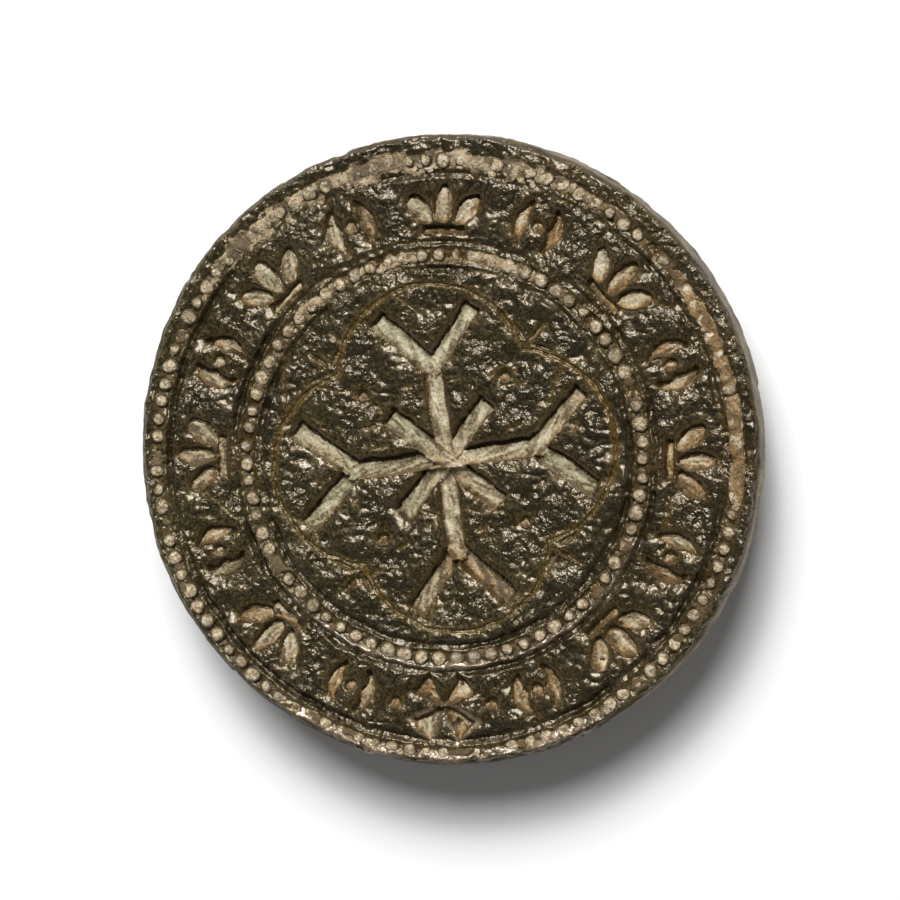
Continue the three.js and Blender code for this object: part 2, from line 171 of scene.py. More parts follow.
scene.view_settings.view_transform = "Standard"
for name, angle, strength in (
    ("key_light", KEY_ANGLE, KEY_STRENGTH),
    ("spark_light", SPARK_ANGLE, SPARK_STRENGTH),
):
    lamp = add_object(name, bpy.data.lights.new(name, "SUN"))
    lamp.data.angle = math.radians(angle)
    lamp.data.energy = strength
    lamp.rotation_euler = towards(KEY_AZIMUTH, KEY_HEIGHT).to_track_quat("Z", "Y").to_euler()
print(f"the lamps are {KEY_HEIGHT:.0f} degrees above the floor")

# %% Room
CEILING_STRENGTH = 0.09
ROOM_WALL_TOP = 6.5
CEILING_START = 20.0

world = bpy.data.worlds.new("white_room")
scene.world = world
world.use_nodes = True
sky = world.node_tree
sky.nodes.clear()
ray = node(sky, "ShaderNodeTexCoord").outputs["Generated"]
room = node(
    sky,
    "ShaderNodeMapRange",
    {
        "Value": node(sky, "ShaderNodeSeparateXYZ", {0: ray}).outputs["Z"],
        "From Min": math.sin(math.radians(ROOM_WALL_TOP)),
        "From Max": math.sin(math.radians(CEILING_START)),
        "To Min": 1.0,
        "To Max": CEILING_STRENGTH,
    },
)
light = node(sky, "ShaderNodeBackground", {"Color": linear("#ffffff"), "Strength": room})
node(sky, "ShaderNodeOutputWorld", {"Surface": light})
print(f"the room is white up to {ROOM_WALL_TOP} degrees, and its ceiling is {CEILING_STRENGTH} bright")

# %% Floor
FLOOR_WIDTH = 1200.0

half_floor = FLOOR_WIDTH / 2 * MM
corners = [(x * half_floor, y * half_floor, 0) for x, y in ((-1, -1), (1, -1), (1, 1), (-1, 1))]
floor_mesh = bpy.data.meshes.new("floor")
floor_mesh.from_pydata(corners, [], [(0, 1, 2, 3)])
floor = add_object("floor", floor_mesh)

paper = bpy.data.materials.new("white_paper")
paper.use_nodes = True
paper.node_tree.nodes.clear()
white = node(paper.node_tree, "ShaderNodeBsdfDiffuse", {"Color": linear("#fbfbfb")})
clear = node(paper.node_tree, "ShaderNodeBsdfTransparent")
from_below = node(paper.node_tree, "ShaderNodeNewGeometry").outputs["Backfacing"]
one_sided = node(paper.node_tree, "ShaderNodeMixShader", {0: from_below, 1: white, 2: clear})
node(paper.node_tree, "ShaderNodeOutputMaterial", {"Surface": one_sided})
floor_mesh.materials.append(paper)
print("the floor can be seen through from below, so the back of the seal shows there")

# %% [markdown]
# ## The plan of the engraving
#
# A seal engraver first scribed circles with compasses. They divide the face: a beaded border near the edge,
# a band for the ornament, a second beaded border, and a field in the middle for the device. These are the
# sizes of that plan, from the edge inwards, the same as in the CAD model. The engraving sits slightly off
# the plate's centre, as it does on the real one, so the margin is wider at the top than at the bottom.

# %% Sizes of the engraving
ENGRAVING_CENTRE = np.array([-0.12, -0.32])
BEAD_INSET = 1.05
BEAD_WIDTH = 0.62
BEAD_PIT_DEPTH = 0.32
BEAD_PITCH = 0.84
LINE_WIDTH = 0.46
LINE_DEPTH = 0.26
LINE_GAP = 0.62
BAND_WIDTH = 3.2
BAND_MARGIN = 0.08
PLACES = 16

OUTER_BEADS = PLATE_RADIUS - BEAD_INSET
OUTER_LINE = OUTER_BEADS - LINE_GAP
INNER_LINE = OUTER_LINE - BAND_WIDTH
INNER_BEADS = INNER_LINE - LINE_GAP
FIELD_LINE = INNER_BEADS - LINE_GAP
FIELD_RADIUS = FIELD_LINE - LINE_WIDTH / 2
BAND_RADIUS = (OUTER_LINE + INNER_LINE) / 2
MOTIF_HEIGHT = BAND_WIDTH - LINE_WIDTH - 2 * BAND_MARGIN
print(f"beads at {OUTER_BEADS:.2f} and {INNER_BEADS:.2f} mm, band {INNER_LINE:.2f} to {OUTER_LINE:.2f} mm")

# %% [markdown]
# ## The cuts
#
# Each cut is an outline on the face, the depth of its floor, the width of its sloping wall, and how far
# soil fills it. It could be a solid that is subtracted, as in the CAD model, but an outline is quicker and
# can be worn. An outline is made at the origin, pointing up, and then turned and moved to its place. The
# same few outlines, leaf, bar, crescent and flared arm, make the whole ornament.

# %% Outlines
def leaf(length, width, steps=6):
    """A pointed oval."""
    turn = np.linspace(-math.pi / 2, math.pi / 2, 2 * steps + 1)[:-1]
    half = np.column_stack((width / 2 * np.cos(turn), length / 2 * np.sin(turn)))
    return np.vstack((half, -half))


def bar(length, width):
    """A rectangle."""
    x, y = width / 2, length / 2
    return np.array([(x, -y), (x, y), (-x, y), (-x, -y)])


def disc(width, steps=14):
    """A circle."""
    turn = np.linspace(0, 2 * math.pi, steps, endpoint=False)
    return width / 2 * np.column_stack((np.cos(turn), np.sin(turn)))


def crescent(radius, width, half_angle=1.15, steps=7, tip_share=0.25):
    """A moon that bulges to the right."""
    turn = np.linspace(-half_angle, half_angle, 2 * steps + 1)
    thickness = width * (tip_share + (1 - tip_share) * np.cos(turn / half_angle * math.pi / 2))
    rays = np.column_stack((np.cos(turn), np.sin(turn)))
    return np.vstack((radius * rays, ((radius - thickness)[:, None] * rays)[::-1]))


def flared_arm(length, root, end):
    """One arm of a cross, wider at its end."""
    return np.array([(root / 2, 0), (end / 2, length), (-end / 2, length), (-root / 2, 0)])


def placed(outline, turn, x=0.0, y=0.0):
    """An outline turned anticlockwise about the origin and then moved."""
    c, s = math.cos(turn), math.sin(turn)
    return outline @ np.array([(c, s), (-s, c)]) + (x, y)


def at_angle(outline, turn, radius, angle):
    """An outline turned and then moved out from the centre of the engraving."""
    return placed(outline, turn, radius * math.cos(angle), radius * math.sin(angle))


print(len(leaf(2, 1)), "corners in a leaf,", len(disc(1)), "in a disc and", len(crescent(2, 1)), "in a moon")

# %% [markdown]
# ## The band of ornament
#
# Sprigs of three leaves and roundels follow each other round the band, and a flared cross between two
# pellets marks where the band starts, at the bottom. Engravers cut such marks with a few strokes of one
# graver, so no two are quite the same: a seeded random number varies the depth and the soil of each motif a
# little.

# %% Motifs
WALL = 0.22
PELLET_WALL = 0.3
LEAF_WIDTH = 1.05
LEAF_DEPTH = 0.62
FOOT_WIDTH = 0.55
SIDE_LEAN = 0.7
SIDE_SHARE = 0.72
CRESCENT_WIDTH = 0.95
CRESCENT_DEPTH = 0.6
PELLET_WIDTH = 0.8
PELLET_DEPTH = 0.4
ARM_SHARE = 0.92
ARM_ROOT = 0.33
ARM_END = 1.4 * LEAF_WIDTH


def sprig():
    """Three leaves on a short bar."""
    base = -MOTIF_HEIGHT / 2
    side = SIDE_SHARE * MOTIF_HEIGHT
    shapes = [
        placed(bar(FOOT_WIDTH, 2 * LEAF_WIDTH), 0, 0, base + FOOT_WIDTH / 2),
        placed(leaf(MOTIF_HEIGHT - FOOT_WIDTH, LEAF_WIDTH), 0, 0, FOOT_WIDTH / 2),
    ]
    for hand in (-1, 1):
        tip = placed(leaf(side, LEAF_WIDTH), 0, 0, side / 2)
        shapes.append(placed(tip, -hand * SIDE_LEAN, hand * LEAF_WIDTH / 2, base + FOOT_WIDTH))
    return [(shape, LEAF_DEPTH, WALL) for shape in shapes]


def roundel():
    """Two crescents round a pellet."""
    moon = crescent(MOTIF_HEIGHT / 2, CRESCENT_WIDTH)
    moons = [(placed(moon, turn), CRESCENT_DEPTH, WALL) for turn in (0, math.pi)]
    return moons + [(disc(PELLET_WIDTH), PELLET_DEPTH, 0.2)]


def starting_cross():
    """Four flared arms, set as a saltire."""
    arm = flared_arm(MOTIF_HEIGHT / 2 * math.sqrt(2) * ARM_SHARE, ARM_ROOT, ARM_END)
    return [(placed(arm, math.pi / 4 + i * math.pi / 2), CRESCENT_DEPTH, WALL) for i in range(4)]


print(f"each motif is {MOTIF_HEIGHT:.2f} mm high, and its cuts are {PELLET_DEPTH} to {LEAF_DEPTH} mm deep")

# %% Cuts in the band
LOWER_ARMS = (0, 3)
dice = np.random.default_rng(1350)
cuts = []


def add_cut(outline, depth, wall, fill, tint=0.5, bright=0.0):
    """Keeps a cut. fill is the share of its depth that soil fills. tint is the soil's colour: orange brown at
    0, pinkish beige at 0.5 and greenish cream at 1. bright is 1 where the cut's edges are rubbed clean and
    lightened, partly as a painted highlight."""
    values = {"depth": depth, "wall": wall, "fill": fill, "tint": tint, "bright": bright}
    cuts.append({"outline": outline, **values})


for place in range(PLACES):
    angle = -math.pi / 2 + 2 * math.pi * place / PLACES
    motif = starting_cross() if place == 0 else roundel() if place % 2 else sprig()
    depth_share = dice.uniform(0.8, 1.08)
    fill = dice.uniform(0.1, 0.4)
    for part, (outline, depth, wall) in enumerate(motif):
        shape = at_angle(outline, angle - math.pi / 2, BAND_RADIUS, angle)
        tint = dice.uniform(0.42, 0.72) - 0.12 * math.cos(angle)
        # The lower arms of the cross get lightened edges, partly as a painted highlight.
        bright = 0.9 if place == 0 and part in LOWER_ARMS else 0.0
        add_cut(shape, depth * depth_share, wall, fill, tint, bright)
for hand in (-1, 1):
    angle = -math.pi / 2 + hand * math.pi / PLACES
    add_cut(at_angle(disc(PELLET_WIDTH), 0, BAND_RADIUS, angle), PELLET_DEPTH, PELLET_WALL, 0.6, tint=0.4)
print(len(cuts), "cuts in the band")

# %% [markdown]
# ## The device
#
# The middle of a private seal holds its owner's device. This one is a plain geometric star: four long arms
# with forked ends, four short ones, and pellets between them. The strokes are broad, with flat floors, and
# they hold the palest soil. A frame of four thin arcs runs round them, only scratched in. Short ticks and
# long scratches from use and cleaning lie over everything, without any order.

# %% Device
DEVICE_TURN = 0.14
STROKE_WIDTH = 1.05
STROKE_DEPTH = 0.8
FORK_START = 0.5 * FIELD_RADIUS
FORK_END = 0.8 * FIELD_RADIUS
FORK_SPREAD = 0.3
SHORT_ARM = 0.34 * FIELD_RADIUS
PELLET_RADIUS = 0.56 * FIELD_RADIUS
SPANDREL_LENGTH = 1.1
SPANDREL_WIDTH = 0.36
SPANDREL_DEPTH = 0.22
SPANDREL_SPREAD = 1.24
SPANDREL_RADIUS = 0.78 * FIELD_RADIUS


def stroke(start, end):
    """A broad straight cut between two points given as (radius, angle)."""
    a, b = (np.array([r * math.cos(t), r * math.sin(t)]) for r, t in (start, end))
    length = np.linalg.norm(b - a) + STROKE_WIDTH
    turn = math.atan2(*(b - a)[::-1]) - math.pi / 2
    return placed(bar(length, STROKE_WIDTH), turn, *((a + b) / 2))


for arm in range(4):
    along = DEVICE_TURN + arm * math.pi / 2
    between = along + math.pi / 4
    fork = (FORK_START, along)
    strokes = [stroke((0, along), fork)]
    strokes += [stroke(fork, (FORK_END, along + hand * FORK_SPREAD)) for hand in (-1, 1)]
    strokes.append(stroke((0, between), (SHORT_ARM, between)))
    for shape in strokes:
        add_cut(shape, STROKE_DEPTH, WALL, dice.uniform(0.1, 0.22), tint=dice.uniform(0.8, 1.0))
    add_cut(at_angle(disc(PELLET_WIDTH), 0, PELLET_RADIUS, between), PELLET_DEPTH, PELLET_WALL, 0.55)
    for hand in (-1, 0, 1):
        small = placed(leaf(SPANDREL_LENGTH, SPANDREL_WIDTH), 0, 0, (SPANDREL_LENGTH + SPANDREL_WIDTH) / 2)
        small = placed(small, hand * SPANDREL_SPREAD, 0, SPANDREL_RADIUS)
        add_cut(placed(small, between - math.pi / 2), SPANDREL_DEPTH, 0.16, 0.3, tint=0.6)
print(len(cuts), "cuts with the device")

# %% Ticks and scratches
TICKS = 26
SCRATCHES = 9
SCRATCH_WIDTH = 0.16
SCRATCH_DEPTH = 0.07

for _ in range(TICKS):
    distance = FIELD_RADIUS * dice.uniform(0.3, 0.92)
    angle = dice.uniform(-math.pi, math.pi)
    tick = leaf(dice.uniform(0.5, 1.2), dice.uniform(0.14, 0.26), steps=3)
    tick = at_angle(tick, dice.uniform(0, math.pi), distance, angle)
    add_cut(tick, dice.uniform(0.06, 0.14), 0.1, 0.0)
for _ in range(SCRATCHES):
    distance = OUTER_LINE * dice.uniform(0.2, 0.95)
    angle = dice.uniform(-math.pi, math.pi)
    scratch = leaf(dice.uniform(2.0, 4.5), SCRATCH_WIDTH, steps=3)
    scratch = at_angle(scratch, dice.uniform(0, math.pi), distance, angle)
    add_cut(scratch, SCRATCH_DEPTH, 0.08, 0.0)
print(len(cuts), "cuts in all")

# %% [markdown]
# ## Grain
#
# Bronze that has lain in the ground is pitted and lumpy at every scale. The largest lumps are modelled, and
# the finest are left to the material. A Displace modifier with a texture could do it, but plain values at
# each point can be used for the colours as well. The noise is smooth random values on a lattice, which is
# turned away from the axes so that its rows don't show. Each use has its own seed, so the result is the
# same on every run.

# %% Noise
TURNED = np.linalg.qr(np.random.default_rng(7).normal(size=(3, 3)))[0]
LATTICE = 64


def smooth_step(low, high, value):
    """0 below low, 1 above high, and an even S between them."""
    share = np.clip((value - low) / (high - low), 0, 1)
    return share * share * (3 - 2 * share)


def lumps(points, cell, seed):
    """Smooth noise from -1 to 1, with lumps about one cell across, at points in millimetres."""
    table = np.random.default_rng(seed).uniform(-1, 1, (LATTICE,) * 3)
    grid = points @ TURNED / cell
    whole = np.floor(grid).astype(int)
    part = smooth_step(0, 1, grid - whole)
    total = np.zeros(len(points))
    for corner in itertools.product((0, 1), repeat=3):
        weight = np.prod(np.where(corner, part, 1 - part), axis=1)
        i, j, k = ((whole + corner) % LATTICE).T
        total += weight * table[i, j, k]
    return total


print("the noise at three corners of a cell:", lumps(np.eye(3), 1.0, 1).round(2))

# %% Corrosion and wear
CRUST_TOP = 0.12
WORN_MARGIN = 0.9


def crust(points):
    """The relief of the corroded skin, in millimetres. Most of it is within 0.1 mm of 0."""
    broad = 0.07 * lumps(points, 2.0, 1)
    middle = 0.115 * lumps(points, 0.8, 2)
    small = 0.08 * (np.abs(lumps(points, 0.42, 3)) - 0.3)
    grain = 0.03 * lumps(points, 0.24, 4)
    return broad + middle + small + grain


def corrosion(points):
    """How far the metal has been eaten away, in millimetres: 0 or more."""
    pits = 0.06 * smooth_step(0.5, 0.8, lumps(points, 0.42, 5))
    return np.clip(CRUST_TOP - crust(points), 0, None) + pits


def edge_wear(points, radius):
    """How far filing, wear and nicks set the rim in, in millimetres. It fades out away from the edge."""
    rays = points[:, :2] / np.maximum(radius, MM)[:, None]
    around = np.column_stack((PLATE_RADIUS * rays, np.zeros(len(points))))
    at_rim = np.column_stack((PLATE_RADIUS * rays, points[:, 2]))
    slow = 0.06 * (1 + lumps(around, 7.0, 31))
    ripple = 0.04 * (1 + lumps(around, 1.3, 33))
    nicks = 0.1 * smooth_step(0.5, 0.9, lumps(at_rim, 0.7, 32))
    return (slow + ripple + nicks) * smooth_step(PLATE_RADIUS - WORN_MARGIN, PLATE_RADIUS - 0.1, radius)


sample = np.random.default_rng(0).uniform(-PLATE_RADIUS, PLATE_RADIUS, (2000, 3))
print(f"the crust's relief is {crust(sample).std():.2f} mm on average")

# %% [markdown]
# ## The depth of the face
#
# For every point of the face, this works out how deep the engraving is there and where soil covers the
# metal. A cut's wall rises with the distance from its outline, so the cuts need no separate geometry: they
# are pressed into one fine mesh. The points are first shifted a little by noise, which gives the cuts the
# uneven edge of hand work.

# %% The face before it is cut
HAND_WOBBLE = 0.07
NO_SOIL = -9.0
SOIL_TINT = 0.45


def blank_face(points):
    """The values at each point. x and y are its place in the engraving, as an unsteady hand drew it. metal
    and soil are heights, tint and shade colour the soil, and stain is how brown it makes the metal. lips are
    the smooth edges of cuts, and bright is where metal is rubbed clean and lightened, partly as a painted
    highlight. The outer border adds film, where soil is smeared thinly on the metal."""
    flat = np.column_stack((points[:, :2] - ENGRAVING_CENTRE, np.zeros(len(points))))
    x, y = (
        flat[:, axis] + HAND_WOBBLE * (lumps(flat, 0.7, 11 + axis) + lumps(flat, 0.22, 13 + axis) / 2)
        for axis in (0, 1)
    )
    zero = np.zeros(len(points))
    values = {name: zero.copy() for name in ("metal", "stain", "lips", "bright")}
    face = SimpleNamespace(flat=flat, x=x, y=y, radius=np.hypot(x, y), turn=np.arctan2(y, x), **values)
    face.soil = zero + NO_SOIL
    face.tint = zero + SOIL_TINT
    face.shade = 0.5 + 0.5 * lumps(flat, 0.35, 17)
    return face


def cut_lines(face):
    """The scribed circles, worn unevenly and most at the top."""
    left = np.clip(0.7 + 0.25 * np.sin(-face.turn) + 0.7 * lumps(face.flat, 2.2, 15), 0.15, 1.2)
    for line in (OUTER_LINE, INNER_LINE, FIELD_LINE):
        share = np.clip(1 - np.abs(face.radius - line) / (LINE_WIDTH / 2), 0, 1)
        face.metal = np.minimum(face.metal, -LINE_DEPTH * share**0.6 * left)
        face.stain = np.maximum(face.stain, 0.4 * share)


# %% [markdown]
# ## The borders
#
# Each border is a ring of round pits in a shallow channel. Dirt has turned the channel brown, and here and
# there clay still fills it. The outer border has had three fates, each on its own stretch. On the right
# orange clay fills it, at the top soil is smeared over it and the metal beside it, and at the bottom, where
# a thumb held the seal, the beads are rubbed almost flat and the metal is lightened, partly as wear and
# partly as a painted highlight. A painted mask could say where, but angles from the centre are easier to
# change, so each stretch is its middle and its half width in degrees.

# %% Borders
ORANGE_STRETCH = (12, 26)
SMEARED_STRETCH = (104, 50)
RUBBED_STRETCH = (-88, 46)
# The inner ridge is lightened at the bottom, where it faces the lamp: wear and painted highlight.
RUBBED_AND_LIT_RIDGE = (-84, 62)
CHANNEL_DEPTH = 0.17
CHANNEL_HALF_WIDTH = 0.6 * BEAD_WIDTH
CHANNEL_EDGE = 0.4
CHANNEL_SOIL = -0.22
RUBBED_DEPTH = 0.2
FILM_HALF_WIDTH = 0.62


def stretch(turn, middle, half_width):
    """1 in the middle of a stretch of the border and 0 outside it. The stretch is given in degrees."""
    off = np.abs((np.degrees(turn) - middle + 180) % 360 - 180)
    return 1 - smooth_step(0.6 * half_width, half_width, off)


def plateau(offset, half_width):
    """1 around an offset of 0, and 0 well past the half width on either side."""
    return np.exp(-((offset / half_width) ** 4))


def cut_border(face, border, pit_share=1.0):
    """A ring of pits in a channel. It gives back how far each point is in the channel, from 0 to 1."""
    step = 2 * math.pi / round(2 * math.pi * border / BEAD_PITCH)
    nearest = np.round(face.turn / step) * step
    gap = np.hypot(face.x - border * np.cos(nearest), face.y - border * np.sin(nearest))
    pit = BEAD_PIT_DEPTH * np.clip(1 - gap / (BEAD_WIDTH / 2), 0, 1) ** 0.5
    channel = plateau(face.radius - border, CHANNEL_HALF_WIDTH)
    face.metal = np.minimum(face.metal, -pit_share * np.maximum(pit, CHANNEL_DEPTH * channel))
    return channel


def fill_border(face, channel, clay, cover):
    """Soil in a channel: clay where there is some, and brown dirt elsewhere. cover raises the clay."""
    inside = channel > CHANNEL_EDGE
    level = CHANNEL_SOIL + 0.85 * cover * channel + 0.13 * lumps(face.flat, 0.45, 16)
    brown = channel * (1 - np.clip(5 * clay, 0, 1))
    dirt = SOIL_TINT - 0.14 * brown - 0.12 * brown * np.cos(face.turn)
    face.soil = np.where(inside, np.maximum(face.soil, level), face.soil)
    face.tint = np.where(inside, dirt, face.tint)
    face.shade = face.shade - 0.75 * brown
    face.stain = np.maximum(face.stain, channel)


def rub_and_highlight(face, ridge, half_width, where):
    """Metal rubbed clean and lightened along a ridge, in patches, partly as a painted highlight."""
    patches = np.clip(0.9 + 0.9 * lumps(face.flat, 1.2, 24) + 0.5 * lumps(face.flat, 0.4, 25), 0, 1)
    face.bright = np.maximum(face.bright, where * patches * plateau(face.radius - ridge, half_width))


def outer_border(face):
    """The border with its orange, smeared and rubbed stretches, and the stained margin outside it."""
    orange, smeared, rubbed = (
        stretch(face.turn, *place) for place in (ORANGE_STRETCH, SMEARED_STRETCH, RUBBED_STRETCH)
    )
    channel = cut_border(face, OUTER_BEADS, 1 - 0.7 * rubbed)
    slope = np.interp(face.radius - OUTER_BEADS, (-0.35, -0.12, 0.42), (0.0, 1.0, 0.0))
    lowered = RUBBED_DEPTH * rubbed * slope * (1 + 0.4 * lumps(face.flat, 0.8, 26))
    face.metal = np.minimum(face.metal, -lowered)
    clay = np.maximum(orange, 0.95 * smeared)
    fill_border(face, channel, clay, 0.18 * clay + 0.07 * orange)
    in_channel = channel > CHANNEL_EDGE
    face.tint = np.where(in_channel, face.tint - 0.3 * orange + 0.1 * smeared, face.tint)
    face.shade = face.shade - 0.3 * smeared * channel + 0.5 * smeared * lumps(face.flat, 0.7, 30)
    rub_and_highlight(face, OUTER_BEADS + 0.14, 0.3, rubbed)
    patches = smooth_step(-0.35, 0.35, lumps(face.flat, 0.55, 27) + 0.5 * lumps(face.flat, 0.2, 28))
    face.film = smeared * plateau(face.radius - OUTER_BEADS + 0.05, FILM_HALF_WIDTH) * patches
    margin = smooth_step(OUTER_BEADS + 0.25, OUTER_BEADS + 0.6, face.radius)
    face.stain = np.maximum(face.stain, margin * np.clip(0.05 + 0.5 * lumps(face.flat, 1.5, 23), 0, 1))


def inner_border(face):
    """The border round the field, with less clay at the top, and a ridge at the bottom that is lightened,
    as wear and as a painted highlight where it faces the lamp.
    """
    clay = 0.45 * stretch(face.turn, *SMEARED_STRETCH)
    fill_border(face, cut_border(face, INNER_BEADS), clay, 0.18 * clay)
    rub_and_highlight(face, INNER_BEADS + 0.36, 0.19, stretch(face.turn, *RUBBED_AND_LIT_RIDGE))


print("beads in the two borders:", [round(2 * math.pi * r / BEAD_PITCH) for r in (OUTER_BEADS, INNER_BEADS)])

# %% [markdown]
# ## The strokes of the graver
#
# The frame round the device is four arcs, only scratched in. The other cuts are deep, with walls, and wear
# has rounded their lips. Soil lies on a cut's floor, browner at its edges and darker low in the field,
# where the light doesn't reach, and the marks of the tool run through it lengthwise.

# %% Frame and cuts
LOBE_CENTRE = 0.42 * FIELD_RADIUS
LOBE_RADIUS = 0.53 * FIELD_RADIUS
TRACERY_WIDTH = 0.24
TRACERY_DEPTH = 0.16
LIP_DEPTH = 0.15
LIP_REACH = 0.24
STAIN_REACH = 0.05
CUT_REACH = 0.5
# The soil is moved down, off the upper wall of each cut, so that dark metal shows there as painted shade.
SHADE_SIDE_SOIL_SHIFT = 0.2
SOIL_SKIN = 0.04
SOIL_EDGE_REACH = 0.17


def scratch_frame(face):
    """Four thin arcs, each shown only in its own quarter of the field."""
    for arm in range(4):
        lobe = DEVICE_TURN + arm * math.pi / 2
        lobe_x, lobe_y = LOBE_CENTRE * math.cos(lobe), LOBE_CENTRE * math.sin(lobe)
        off = np.abs(np.hypot(face.x - lobe_x, face.y - lobe_y) - LOBE_RADIUS)
        own = np.cos(face.turn - lobe) > math.cos(math.pi / 4)
        groove = TRACERY_DEPTH * np.clip(1 - off / (TRACERY_WIDTH / 2), 0, 1)
        face.metal = np.minimum(face.metal, -groove * own)
        face.stain = np.maximum(face.stain, np.clip(1.3 - off / TRACERY_WIDTH, 0, 1) * own)


def depth_inside(x, y, outline):
    """How far each point lies inside a closed outline. Outside it is negative."""
    nearest = np.full(len(x), np.inf)
    inside = np.zeros(len(x), bool)
    for (ax, ay), (bx, by) in zip(outline, np.roll(outline, -1, axis=0)):
        ex, ey, px, py = bx - ax, by - ay, x - ax, y - ay
        along = np.clip((px * ex + py * ey) / (ex * ex + ey * ey), 0, 1)
        nearest = np.minimum(nearest, np.hypot(px - along * ex, py - along * ey))
        crossing = (ay > y) != (by > y)
        inside ^= crossing & (px * ey < ex * py if by > ay else px * ey > ex * py)
    return np.where(inside, nearest, -nearest)


def streaks(x, y, outline):
    """Noise from -1 to 1, drawn out along the longest way through an outline, like a graver's marks."""
    far = outline[np.argmax(np.hypot(*outline.T))]
    cos, sin = far / np.hypot(*far)
    along, across = x * cos + y * sin, y * cos - x * sin
    return lumps(np.column_stack((along / 5, across, far[0] + 0 * along)), 0.11, 19)


def press_cut(face, cut):
    """One cut in the metal, with its walls, its lip and the stain and shine along its edge."""
    centre = cut["outline"].mean(axis=0)
    reach = np.max(np.hypot(*(cut["outline"] - centre).T)) + CUT_REACH
    near = np.flatnonzero(np.hypot(face.x - centre[0], face.y - centre[1]) < reach)
    inside = depth_inside(face.x[near], face.y[near], cut["outline"])
    past_edge = np.clip(inside, None, 0)
    lip = min(LIP_DEPTH, 0.3 * cut["depth"])
    worn = np.exp(past_edge / LIP_REACH)
    depth = (cut["depth"] - lip) * smooth_step(0, cut["wall"], inside) + lip * worn
    shine = cut["bright"] * np.exp(-(((inside - 0.05) / 0.13) ** 2))
    face.metal[near] = np.minimum(face.metal[near], -depth)
    face.lips[near] = np.maximum(face.lips[near], worn * lip / LIP_DEPTH)
    face.stain[near] = np.maximum(face.stain[near], 0.7 * np.exp(past_edge / STAIN_REACH))
    face.bright[near] = np.maximum(face.bright[near], shine)
    if cut["fill"] > 0:
        fill_cut(face, cut, near, inside, centre)


def fill_cut(face, cut, near, inside, centre):
    """Soil on a cut's floor, kept off a band along the upper wall, where dark metal shows as painted shade.
    """
    lower = depth_inside(face.x[near], face.y[near] + SHADE_SIDE_SOIL_SHIFT, cut["outline"])
    held = np.minimum(inside + 0.5 * cut["wall"], lower) > 0.6 * cut["wall"]
    filled = near[held]
    x, y, flat = face.x[filled], face.y[filled], face.flat[filled]
    level = np.maximum(-cut["depth"] * (1 - cut["fill"]), face.metal[filled] + SOIL_SKIN)
    drawn = streaks(x - centre[0], y - centre[1], cut["outline"] - centre)
    edge = np.exp(-np.clip(inside[held], 0, None) / SOIL_EDGE_REACH)
    in_field = face.radius[filled] < FIELD_LINE
    low = np.clip(-y / FIELD_RADIUS, 0, 1) * np.where(in_field, 1.0, 0.25)
    light = 0.75 - 0.08 * in_field - 0.3 * low
    face.soil[filled] = np.maximum(face.soil[filled], level)
    face.shade[filled] = light + 0.6 * drawn + 0.35 * lumps(flat, 1.1, 20) - 0.9 * edge
    face.tint[filled] = cut["tint"] - 0.25 * low - 0.65 * edge + 0.3 * lumps(flat, 1.6, 29)


def engrave(points):
    """The face with all its cuts and their soil, as values at each point."""
    face = blank_face(points)
    cut_lines(face)
    outer_border(face)
    inner_border(face)
    scratch_frame(face)
    for cut in cuts:
        press_cut(face, cut)
    face.shade -= 0.1 * np.clip(-np.cos(face.turn), 0, 1) * (face.radius > INNER_BEADS)
    face.stain *= 1 - face.bright
    return face


# %% [markdown]
# ## The plate
#
# The plate is one piece of metal. It could be the CAD solid with a remesh over it, but that would spend as
# many faces on the plain back as on the face. So its mesh is laid out in rings of points, as many in each
# ring as its length needs, fine on the face and coarse behind. It is cut into four rings at the scribed
# circles, where a seam can't be seen, because a mesh of under 200,000 triangles stays handy for printing
# and for other programs.

# %% Rings of points
FINE = 0.055
COARSE = 0.16
WALL_STEP = 0.09
EDGE_ROUND = 0.4
EDGE_STEPS = 8
BACK_CHAMFER = 0.3


def ring(radius, z, spacing, centre=(0.0, 0.0), out=(0.0, 1.0), face=False):
    """A row of the plate's skin. out is the outward direction as (away from the axis, up)."""
    count = max(1, round(2 * math.pi * radius / spacing))
    turn = 2 * math.pi * np.arange(count) / count
    rays = np.column_stack((np.cos(turn), np.sin(turn)))
    points = np.column_stack((radius * rays + centre, np.full(count, z)))
    outward = np.column_stack((rays * out[0], np.full(count, out[1])))
    return {"points": points, "outward": outward, "face": face, "seam": False}


def steps(start, end, spacing):
    """Even steps from start to end, both included."""
    return np.linspace(start, end, max(1, round(abs(end - start) / spacing)) + 1)


def stitch(upper, lower, upper_start, lower_start):
    """Triangles between two rings whose points are numbered from these starts."""
    a, b = len(upper), len(lower)
    if min(a, b) == 1:
        many, start, tip = (a, upper_start, lower_start) if a > 1 else (b, lower_start, upper_start)
        i = np.arange(many)
        fan = np.column_stack((start + i, start + (i + 1) % many, np.full(many, tip)))
        return fan if a > 1 else fan[:, ::-1]
    ends = np.concatenate(((np.arange(a) + 1) / a, (np.arange(b) + 1) / b))
    is_upper = np.concatenate((np.ones(a, bool), np.zeros(b, bool)))
    order = np.argsort(ends, kind="stable")
    is_upper = is_upper[order]
    i = np.cumsum(is_upper) - is_upper
    j = np.cumsum(~is_upper) - ~is_upper
    third = np.where(is_upper, upper_start + (i + 1) % a, lower_start + (j + 1) % b)
    return np.column_stack((upper_start + i % a, third, lower_start + j % b))


